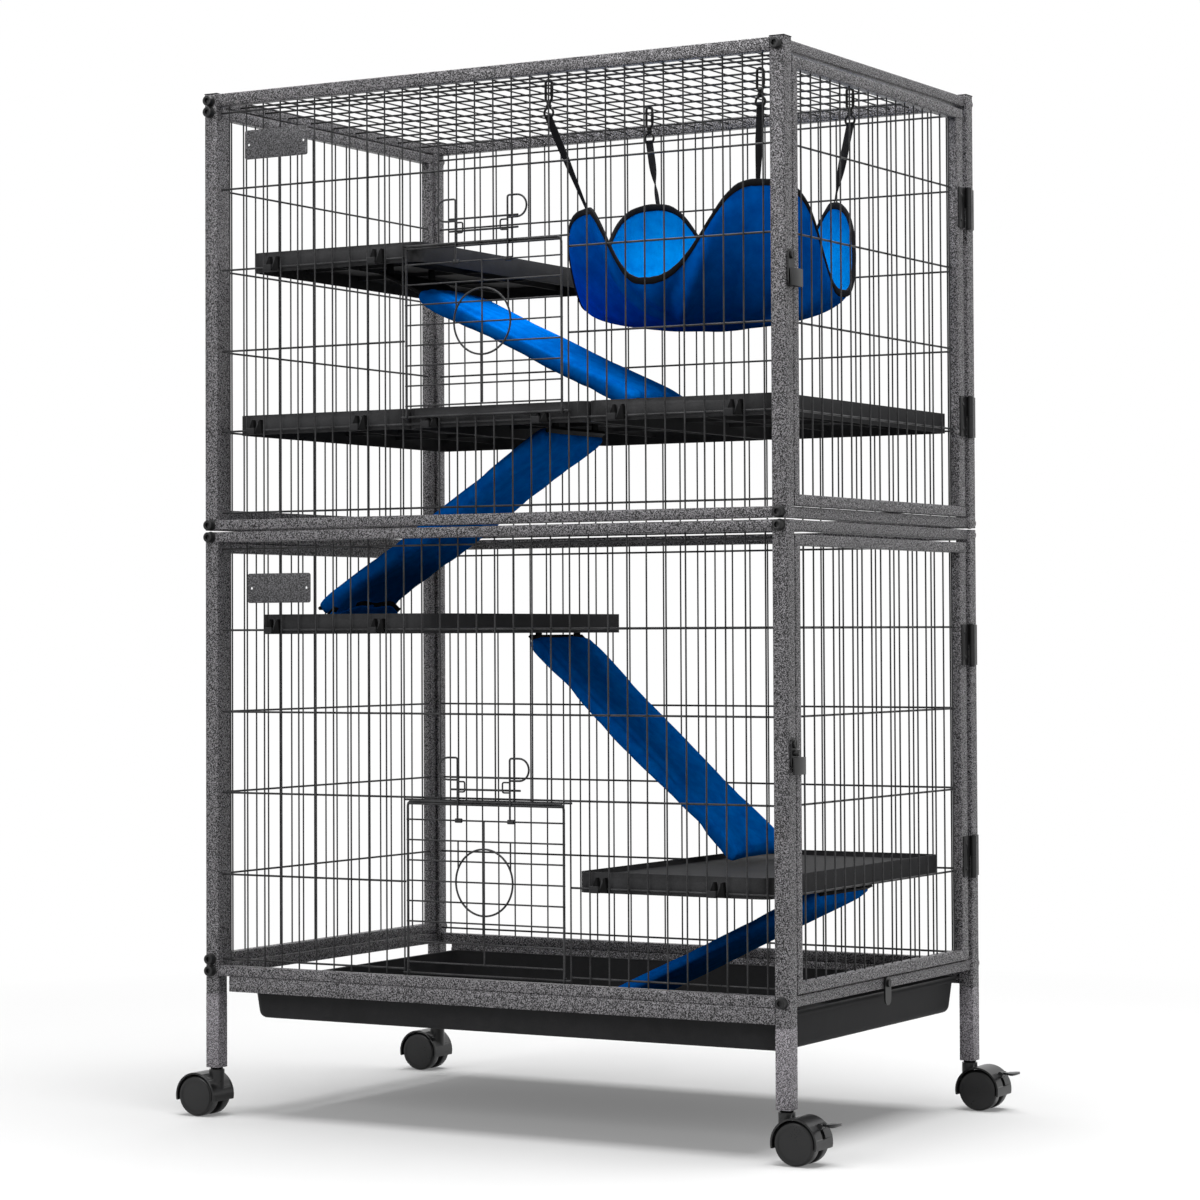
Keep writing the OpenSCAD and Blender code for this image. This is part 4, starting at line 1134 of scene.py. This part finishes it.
@dataclass(frozen=True)
class LatchHalf:
    """One sprung half of a small door's latch, with its finger loop."""

    storey: Storey
    side: int
    rod: float = 2.4
    loop: float = 13.0
    out: float = 36.0

    def sleeve(self, x: float, y: float, z: float) -> Object:
        """The short sleeve that rides on the door's cross wire, hollowed at its ends."""
        sleeve = wire((x - 4, y + 2.4, z), (x + 4, y + 2.4, z), 5.4, 20)
        with selected(sleeve, Part.FACE, lambda c, n: abs(n.x) > 0.9):
            bpy.ops.mesh.inset(thickness=0.5 * MM, use_individual=True)
            bpy.ops.mesh.inset(thickness=0.9 * MM, use_individual=True)
            bpy.ops.transform.resize(value=(0.92, 1, 1), center_override=spot(x, y, z))
        return sleeve

    def build(self) -> None:
        """Builds the half as one piece."""
        s, y, x = self.side, -S.wire_y - 6.0, self.side * self.out
        b, end = self.storey.door_z + S.small_h - 22, x + s * self.loop
        path = [(x, y, b + 1), (x, y, b + 74), (end, y, b + 74)]
        path += arc((end, y, b + 61), self.loop, 90 - 15 * s, -15 * s, 11)
        path += [(end, y, b + 48), (x + s, y, b + 48)]
        inner = x - s * 10
        tail = [(x, y, b + 34), (inner, y, b + 34), (inner, y, b + 46), (x, y, b + 46)]
        parts = [bent_wire(path, self.rod, 3), bent_wire(tail, 2.0, 2.5), self.sleeve(x, y, b + 0.1)]
        label = f"{self.storey.name}_{'left' if s < 0 else 'right'}"
        assemble(parts, f"latch_{label}_wires", f"latch_{label}_body", WIRE_PAINT, [f"latch_half_{label}"])


# Casters


@dataclass(frozen=True)
class Caster:
    """A twin-wheel swivel caster at one leg. The disc lists the inset and the rise of its rings."""

    x_side: int
    y_side: int
    leg_x: float = 390.5
    leg_y: float = 250.5
    radius: float = 25.0
    trail: float = 18.0
    gap: float = 5.5
    face: float = 20.1
    disc: tuple[Pair, ...] = ((2.6, 0.45), (3.4, 0.4), (4.0, 0.3), (4.4, 0.18), (3.2, 0.05), (1.0, -0.35))

    @property
    def label(self) -> str:
        """Corner of the cage in two letters."""
        return ("f" if self.y_side < 0 else "b") + ("l" if self.x_side < 0 else "r")

    def wheel(self, side: int) -> Object:
        """One wheel with a rounded shoulder and a smooth domed disc with a small dimple."""
        x, y = self.x_side * (self.leg_x + self.trail), self.y_side * self.leg_y
        inner, outer = y + side * self.gap, y + side * self.face
        obj = wire((x, inner, self.radius), (x, outer, self.radius), 2 * self.radius, 64)
        for depth, width, segments in ((outer, 4.6, 7), (inner, 0.9, 2)):
            bevel(obj, width, segments, lambda p, q: max(abs(p.y - depth * MM), abs(q.y - depth * MM)) < TINY)
        with selected(obj, Part.FACE, lambda c, n: n.y * side > 0.99):
            for thickness, rise in self.disc:
                bpy.ops.mesh.inset(thickness=thickness * MM)
                bpy.ops.transform.translate(value=(0, side * rise * MM, 0))
        return obj

    def build(self) -> None:
        """Builds the wheels, the hood and, on the right, the brake of one caster."""
        wheels, swivel, brake = (f"{name}_{self.label}" for name in ("wheels", "swivel", "brake"))
        pair = [self.wheel(s) for s in (-1, 1)]
        assemble(pair, f"{wheels}_discs", wheels, CASTER_GLOSS, [f"caster_{wheels}"], 50)
        Rounded(f"caster_hood_{self.label}", swivel, CASTER_GLOSS, 0.5, 3.0).build()
        if self.x_side > 0:
            Rounded(brake, f"{brake}_body", CASTER_GLOSS, 0.5, 1.0).build()


# Cloth


def puff(obj: Object, voxel: float, pressure: float, cap: float) -> Object:
    """Swells a closed shape into a stuffed one with a cloth simulation.

    Args:
        obj: the closed mesh, slightly smaller than the stuffed piece.
        voxel: size of the remeshed faces in millimetres.
        pressure: pressure inside the cloth.
        cap: farthest that a point may move, in millimetres.

    Returns:
        The same object, remeshed, swollen and smoothed.
    """
    modify(obj, "REMESH", mode="VOXEL", voxel_size=voxel * MM)
    rest = [v.co.copy() for v in obj.data.vertices]
    cloth = obj.modifiers.new("Cloth", "CLOTH")
    cloth.settings.use_pressure = True
    cloth.settings.uniform_pressure_force = pressure
    cloth.settings.effector_weights.gravity = 0.0
    cloth.point_cache.frame_start, cloth.point_cache.frame_end = 1, 20
    for step in range(1, 21):
        bpy.context.scene.frame_set(step)
    pick(obj)
    bpy.ops.object.modifier_apply(modifier=cloth.name)
    bpy.context.scene.frame_set(1)
    for vertex, start in zip(obj.data.vertices, rest):
        move = vertex.co - start
        if move.length > cap * MM:
            vertex.co = start + move.normalized() * cap * MM
    return modify(obj, "SUBSURF", levels=1, render_levels=1)


def ribbon(path: Sequence[Vector], across: Sequence[Vector], thickness: float, lanes: int = 3) -> Object:
    """A band of webbing or cloth along a path.

    Args:
        path: middle line in row-frame metres.
        across: half the band's width at each point, as vectors in metres.
        thickness: thickness in millimetres.
        lanes: rows of points across the band.

    Returns:
        The band, solid and bevelled.
    """
    rows, columns = len(path) - 1, lanes - 1
    bpy.ops.mesh.primitive_grid_add(x_subdivisions=columns, y_subdivisions=rows, size=1)
    obj = bpy.context.active_object
    for vertex in obj.data.vertices:
        i, j = round((vertex.co.x + 0.5) * columns), round((vertex.co.y + 0.5) * rows)
        vertex.co = path[j] + across[j] * (2 * i / columns - 1)
    modify(obj, "SOLIDIFY", thickness=thickness * MM, offset=0.0)
    modify(obj, "BEVEL", width=thickness * 0.3 * MM, segments=2)
    return smooth(freeze(obj), 50)


@dataclass(frozen=True)
class RampCover:
    """A padded cloth sleeve over the board of one ramp.

    The head and the foot are ends of the ramp in the drawing's XZ plane. The sleeve starts a trim
    below the head and ends a bit short of the foot, and rests on the shelf at the height rest.
    """

    number: int
    head: Pair
    foot: Pair
    near: float
    rest: float
    trim: float = -5.0
    short: float = 0.0
    drop: float = 5.0
    droop: float = 11.0
    flap: bool = False
    width: float = 150.0
    thick: float = 13.0

    @property
    def length(self) -> float:
        """Length of the sleeve along the slope."""
        return math.dist(self.head, self.foot) - self.trim - self.short

    def matrix(self) -> Matrix:
        """Turns along, across and above into row-frame metres."""
        along = Vector((self.foot[0] - self.head[0], 0, self.foot[1] - self.head[1])).normalized()
        above = Vector((-along.z, 0, along.x)) * math.copysign(1.0, along.x)
        turn = Matrix((along, Vector((0, 1, 0)), above)).transposed().to_4x4()
        return Matrix.Translation(spot(self.head[0], self.near, self.head[1]) + along * self.trim * MM) @ turn

    def relief(self, u: float, v: float, top: bool) -> float:
        """Height that folds, seams and sag add, in millimetres.

        Args:
            u: place along the slope in millimetres.
            v: place across the ramp in millimetres.
            top: whether the point lies on the upper side.

        Returns:
            The height to add.
        """
        length, k = self.length, self.number
        middle = math.sin(math.pi * min(max(u / length, 0), 1)) ** 0.5
        seam = math.exp(-((v - 14 - 1.5 * math.sin(u / 47 + k)) / 2.2) ** 2)
        ridge = math.exp(-((v - 20 - 2 * math.sin(u / 60 + k)) / 5) ** 2)
        ends = math.exp(-u / 45) + math.exp(-(length - u) / 55)
        wrinkle = math.sin(v / 11 + 1.3 * math.sin(u / 23 + k)) * ends
        if top:
            return 1.3 * math.sin(math.pi * v / self.width) - 1.9 * seam + 0.9 * ridge + 0.9 * wrinkle
        sag = math.exp(-(v / 26) ** 2) + 0.6 * math.exp(-((v - self.width) / 30) ** 2)
        foot = self.drop * max(0.0, 1 - (length - u) / (20 + 2 * self.drop))
        wave = 1 + 0.25 * math.sin(u / 38 + k)
        return -middle * (self.droop * sag * wave + 0.12 * self.droop) - 0.8 * wrinkle - foot

    def mouth(self) -> list[Object]:
        """The turned-up end under the sleeve's foot: a loose lip, and behind it a near-black sheet as painted
        shade in the gap.
        """
        length, half = self.length, self.width / 2
        parts = []
        # The second, thinner sheet behind the lip stands for the gap: it is dressed near black as painted shade.
        for start, end, away, thick, flare in ((-27.0, 1.0, 3.4, 2.2, 6.0), (-32.0, -3.0, 1.2, 1.4, 1.5)):
            path = [Vector(((length + start + (end - start) * i / 6) * MM, half * MM, 0)) for i in range(7)]
            lip = ribbon(path, [Vector((0, (half + 1.5) * MM, 0))] * 7, thick, 41)
            for vertex in lip.data.vertices:
                u, v, w = vertex.co / MM
                free = (length + end - u) / (end - start)
                lift = away * (1 + 0.5 * free) + flare * free * max(0.0, (v - 118) / 32) ** 2
                wave = free * (4.5 * math.sin(v / 24 + 0.9) + 3.0 * math.sin(v / 11))
                under = self.relief(min(max(u, 0.0), length), min(max(v, 0.0), self.width), False)
                vertex.co = Vector((u + wave, v, w - self.thick + under - lift)) * MM
            parts.append(lip)
        return parts

    def build(self) -> None:
        """Builds the sleeve, puffs it up, and adds its seams, folds and sag."""
        length, width, half = self.length, self.width, self.thick / 2
        bpy.ops.mesh.primitive_cube_add(size=1)
        cover = bpy.context.active_object
        cover.scale = ((length - 3) * MM, (width - 5) * MM, (self.thick - 4.5) * MM)
        cover.location = (length / 2 * MM, width / 2 * MM, -half * MM)
        bevel(freeze(cover), 3.4, 3, lambda p, q: abs(p.x - q.x) > 0.1)
        puff(cover, 5.0, 4.0, 5.0)
        for vertex in cover.data.vertices:
            u, v, w = vertex.co / MM
            share = min(1.0, abs(w + half) / half)
            vertex.co.z += self.relief(u, v, w > -half) * share * MM
        if self.flap:
            lips = self.mouth()
            dark = len(lips[1].data.polygons)
            cover = join([cover, *lips], "sleeve")
            # The faces of the sheet behind the lip take the near-black second finish: painted shade.
            for face in list(cover.data.polygons)[-dark:]:
                face.material_index = 1
        cover.data.transform(self.matrix())
        for vertex in cover.data.vertices:
            vertex.co.z = max(vertex.co.z, (self.rest + 0.3) * MM)
        piece = place(smooth(cover, 80), f"ramp_sleeve_{self.number}", "cage", RAMP_CLOTH,
                      [f"ramp_cover_{self.number}"], BINDING_AND_GAP_SHADE if self.flap else None)


RAMPS = (
    RampCover(1, (-191, 1035.3), (171, 864.5), -185, 851.5, trim=54.0),
    RampCover(2, (37, 836), (-300, 621.5), -185, 607.5, short=7.0, drop=9.0, flap=True),
    RampCover(3, (-84, 587.6), (211, 321), -10, 308.5),
    RampCover(4, (340, 289.8), (25, 138), -75, 123.6, droop=0.0),
)


@dataclass(frozen=True)
class Fold:
    """A soft fold that runs from the rim at an angle in degrees towards the middle of the bed."""

    angle: float
    turn: float
    width: float
    height: float


@dataclass(frozen=True)
class Hammock:
    """A hanging bed of cloth: a bowl between four rounded lobes, with a bound rim, and painted light on its
    inside.
    """

    peaks: tuple[Point, ...] = ((80, -145, 1093), (287, -108, 1118), (304, 60, 1107), (62, 62, 1122))
    hang: tuple[Pair, ...] = ((38.1, -165), (292.1, -108), (317.5, 80), (38.1, 82))
    corners: tuple[float, ...] = (225, 315, 45, 135)
    lift: tuple[float, ...] = (-0.6, -0.66, -1.4, -0.8)
    bowl: float = 953.0
    reach: float = 1.13
    power: float = 4.76
    cloth: float = 2.4
    top: float = 1256.5
    folds: tuple[Fold, ...] = (
        Fold(233, 0.34, 0.10, -6.0), Fold(244, 0.30, 0.09, 6.0), Fold(258, 0.10, 0.12, -3.75),
        Fold(284, -0.22, 0.12, 6.0), Fold(299, -0.38, 0.13, -10.5), Fold(322, 0.28, 0.12, 6.0),
        Fold(350, 0.10, 0.14, -6.75), Fold(18, -0.20, 0.12, 5.25), Fold(42, 0.25, 0.13, -6.75),
        Fold(75, 0.15, 0.14, 4.5), Fold(105, -0.15, 0.15, -6.0), Fold(140, 0.25, 0.13, -6.75),
        Fold(165, -0.10, 0.13, 4.5), Fold(205, -0.25, 0.12, 5.25),
    )

    @staticmethod
    def rise(x: float, power: float) -> float:
        """Soft step from 0 in the middle of a side to 1 at its ends."""
        v = min(1.0, abs(x))
        return (v * v * (3 - 2 * v)) ** power

    def quad(self, s: float, t: float) -> Vector:
        """Point of the surface that spans the four tips."""
        a, b, c, d = (Vector(p) for p in self.peaks)
        return a.lerp(b, (s + 1) / 2).lerp(d.lerp(c, (s + 1) / 2), (t + 1) / 2)

    def rim(self, a: float) -> Vector:
        """Point of the rim at an angle, in drawing millimetres."""
        scale = self.reach / (abs(math.cos(a)) ** self.power + abs(math.sin(a)) ** self.power) ** (1 / self.power)
        s, t = scale * math.cos(a), scale * math.sin(a)
        q = self.quad(s, t)
        k = t ** 6 / (s ** 6 + t ** 6)
        end = self.bowl + (51 if t < 0 else 60)
        side = self.bowl + (36 if s < 0 else 40)
        lean_s = s + (0.17 if t < 0 else 0.0) * (1 - min(1.0, s * s))
        lean_t = t - (0.25 if s > 0 else -0.1) * (1 - min(1.0, t * t))
        ends = end + (q.z - end) * self.rise(lean_s, 1.55 + 0.8 * s if t < 0 else 1.5)
        sides = side + (q.z - side) * self.rise(lean_t, 1.6 if s > 0 else 1.0)
        bulge_x, bulge_y = 30 * s * (1 - min(1.0, t ** 6)), 18 * t * (1 - min(1.0, s ** 6))
        return Vector((q.x + bulge_x, q.y + bulge_y, ends * k + sides * (1 - k)))

    def point(self, rho: float, a: float) -> Vector:
        """Point of the cloth at a share of the way to the rim, in drawing millimetres."""
        c, r = self.quad(0, 0), self.rim(a)
        k = math.sin(math.pi / 2 * rho) ** 0.92
        h = (1 - math.cos(math.pi / 2 * rho)) ** 1.05
        return Vector((c.x + (r.x - c.x) * k, c.y + (r.y - c.y) * k, self.bowl + (r.z - self.bowl) * h))

    def inward(self, rho: float, a: float) -> tuple[Vector, Vector]:
        """Normal into the bowl and direction to the rim at a point of the cloth."""
        rho = max(rho, 0.02)
        out = self.point(rho * 1.02, a) - self.point(rho * 0.98, a)
        round_ = self.point(rho, a + 0.02) - self.point(rho, a - 0.02)
        return out.cross(round_).normalized(), out.normalized()

    def folded(self, rho: float, a: float) -> Vector:
        """Point of the cloth with its folds."""
        window = math.sin(math.pi * min(rho, 1.0) ** 1.5) ** 1.3 if 0 < rho < 1 else 0.0
        height = 0.0
        for fold in self.folds:
            off = (a - math.radians(fold.angle) - fold.turn * (1 - rho) * 2 + math.pi) % math.tau - math.pi
            height += fold.height * math.exp(-(off / fold.width) ** 2)
        return self.point(rho, a) + self.inward(rho, a)[0] * height * window

    def build_cloth(self) -> Object:
        """Builds the cloth from a square sheet that is hung by its corners, with painted light on its inside: a
        brighter copy of the cloth on the faces that look into the bowl.
        """
        count = 72
        bpy.ops.mesh.primitive_grid_add(x_subdivisions=count, y_subdivisions=count, size=2)
        obj = bpy.context.active_object
        for vertex in obj.data.vertices:
            u, v = vertex.co.x, vertex.co.y
            rho = max(abs(u), abs(v))
            if rho < TINY:
                a = 0.0
            elif abs(u) >= abs(v):
                a = math.pi / 4 * v / u + (math.pi if u < 0 else 0.0)
            else:
                a = math.pi / 2 - math.pi / 4 * u / v + (math.pi if v < 0 else 0.0)
            vertex.co = spot(*self.folded(rho, a))
        modify(obj, "SOLIDIFY", thickness=self.cloth * MM, offset=0.0, use_even_offset=True)
        modify(obj, "SUBSURF", levels=1, render_levels=1)
        middle = spot(*self.quad(0, 0).xy, self.bowl + 110)
        for finish in (HAMMOCK_CLOTH, HAMMOCK_LIT_INSIDE):
            obj.data.materials.append(finish.material())
        # Faces that look into the bowl take the brighter copy of the cloth: painted light on the inside.
        for face in obj.data.polygons:
            face.material_index = int(face.normal.dot(middle - face.center) > 0)
        return smooth(obj, 70)

    def build_binding(self) -> Object:
        """Builds the tape that is folded over the rim."""
        turns, sides = 240, 16
        bpy.ops.mesh.primitive_torus_add(major_segments=turns, minor_segments=sides)
        obj = bpy.context.active_object
        for index, vertex in enumerate(obj.data.vertices):
            i, j = divmod(index, sides)
            a, b = math.tau * i / turns, math.tau * j / sides
            normal, out = self.inward(1.0, a)
            width = 4.4 * math.copysign(abs(math.cos(b)) ** 0.6, math.cos(b))
            deep = 2.5 * math.copysign(abs(math.sin(b)) ** 0.8, math.sin(b))
            ripple = 0.25 * math.sin(61 * a) * math.cos(b)
            vertex.co = spot(*(self.rim(a) + out * (width - 2.4 + ripple) + normal * deep))
        return smooth(obj, 70)

    def strap(self, index: int) -> list[Object]:
        """One strap: sewn to a lobe, turned through the ring and sewn back on itself."""
        a = math.radians(self.corners[index])
        foot = self.rim(a) + Vector((0, 0, self.lift[index]))
        head = Vector((*self.hang[index], self.top - 53.2))
        line, wide = (head - foot).normalized(), Vector((1, 0, 0))
        side = wide.cross(line).normalized()
        low = Vector((-math.sin(a), math.cos(a), 0)).lerp(wide, 0.2).normalized()
        path = [foot.lerp(head, i / 16) for i in range(17)]
        across = [low.lerp(wide, min(1.0, i / 11)).normalized() * (2.6 + 2.4 * min(1.0, i / 9)) * MM
                  for i in range(17)]
        turns = (math.radians(v) for v in (10, 50, 90, 130, 170))
        upper = [head + side * 0.4]
        upper += [head + line * 1.6 + (side * math.cos(b) + line * math.sin(b)) * 1.9 for b in turns]
        upper += [head - side * 1.5 - line * d for d in (1.5, 10, 20, 30)]
        return [ribbon(shift(path), across, 1.5), ribbon(shift(upper), [wide * 4.3 * MM] * len(upper), 1.2)]

    def hook(self, index: int) -> list[Object]:
        """One snap hook: oval hook with a gate, swivel barrel and ring."""
        (x, y), top = self.hang[index], self.top
        z = top - 20.4
        loop = arc((x, y, z + 8.7), 4.2, 0, 15, 13) + arc((x, y, z - 8.7), 4.2, 180, 15, 13)
        ring = arc((x, y, top - 47), 6.1, 0, 360 / 28, 28)
        bent = [bent_wire(loop, 3.3, closed=True), bent_wire(ring, 2.9, closed=True)]
        straight = [wire((x + 4.2, y, z - 6.5), (x + 4.2, y, z + 6.5), 4.0, 14)]
        straight += [wire((x, y, top - low), (x, y, top - high), size, 20)
                     for low, high, size in ((40.6, 32.2, 5.6), (39.4, 37.6, 7.4), (34.6, 33.0, 7.0))]
        for part in straight:
            bevel(part, 0.35, 2, lambda c, n: abs(n.z) > 0.9, Part.FACE)
        return bent + straight

    def build(self) -> None:
        """Builds the cloth, its binding, the straps and the hooks."""
        cloth, binding = self.build_cloth(), self.build_binding()
        place(binding, "hammock_binding", "cage", BINDING_AND_GAP_SHADE)
        place(cloth, "hammock_bed", "cage", HAMMOCK_CLOTH, ["hammock"], HAMMOCK_LIT_INSIDE)
        straps = [p for i in range(4) for p in self.strap(i)]
        assemble(straps, "hammock_straps_webbing", "cage", WEBBING, ["hammock_straps"], 50)
        hooks = [p for i in range(4) for p in self.hook(i)]
        assemble(hooks, "hammock_snap_hooks", "cage", HOOK_PLASTIC, ["hammock_hooks"], 50)


def main() -> None:
    """Builds every piece in order."""
    Studio().build()
    dress_cad_nodes()
    for storey in (UPPER, LOWER):
        for side in (-1, 1):
            EndFrame(storey, side).build()
        FixedPanel(storey).build()
        SideDoor(storey).build()
    build_grilles()
    for item in (TopMesh(), SideRails(), *ROUNDED, Pan(), PanTab(), ShelfClips()):
        item.build()
    for storey in (UPPER, LOWER):
        SmallDoor(storey).build()
        for side in (-1, 1):
            LatchHalf(storey, side).build()
    for x_side in (-1, 1):
        for y_side in (-1, 1):
            Caster(x_side, y_side).build()
    for item in (*RAMPS, Hammock()):
        item.build()


if __name__ == "__main__":
    main()
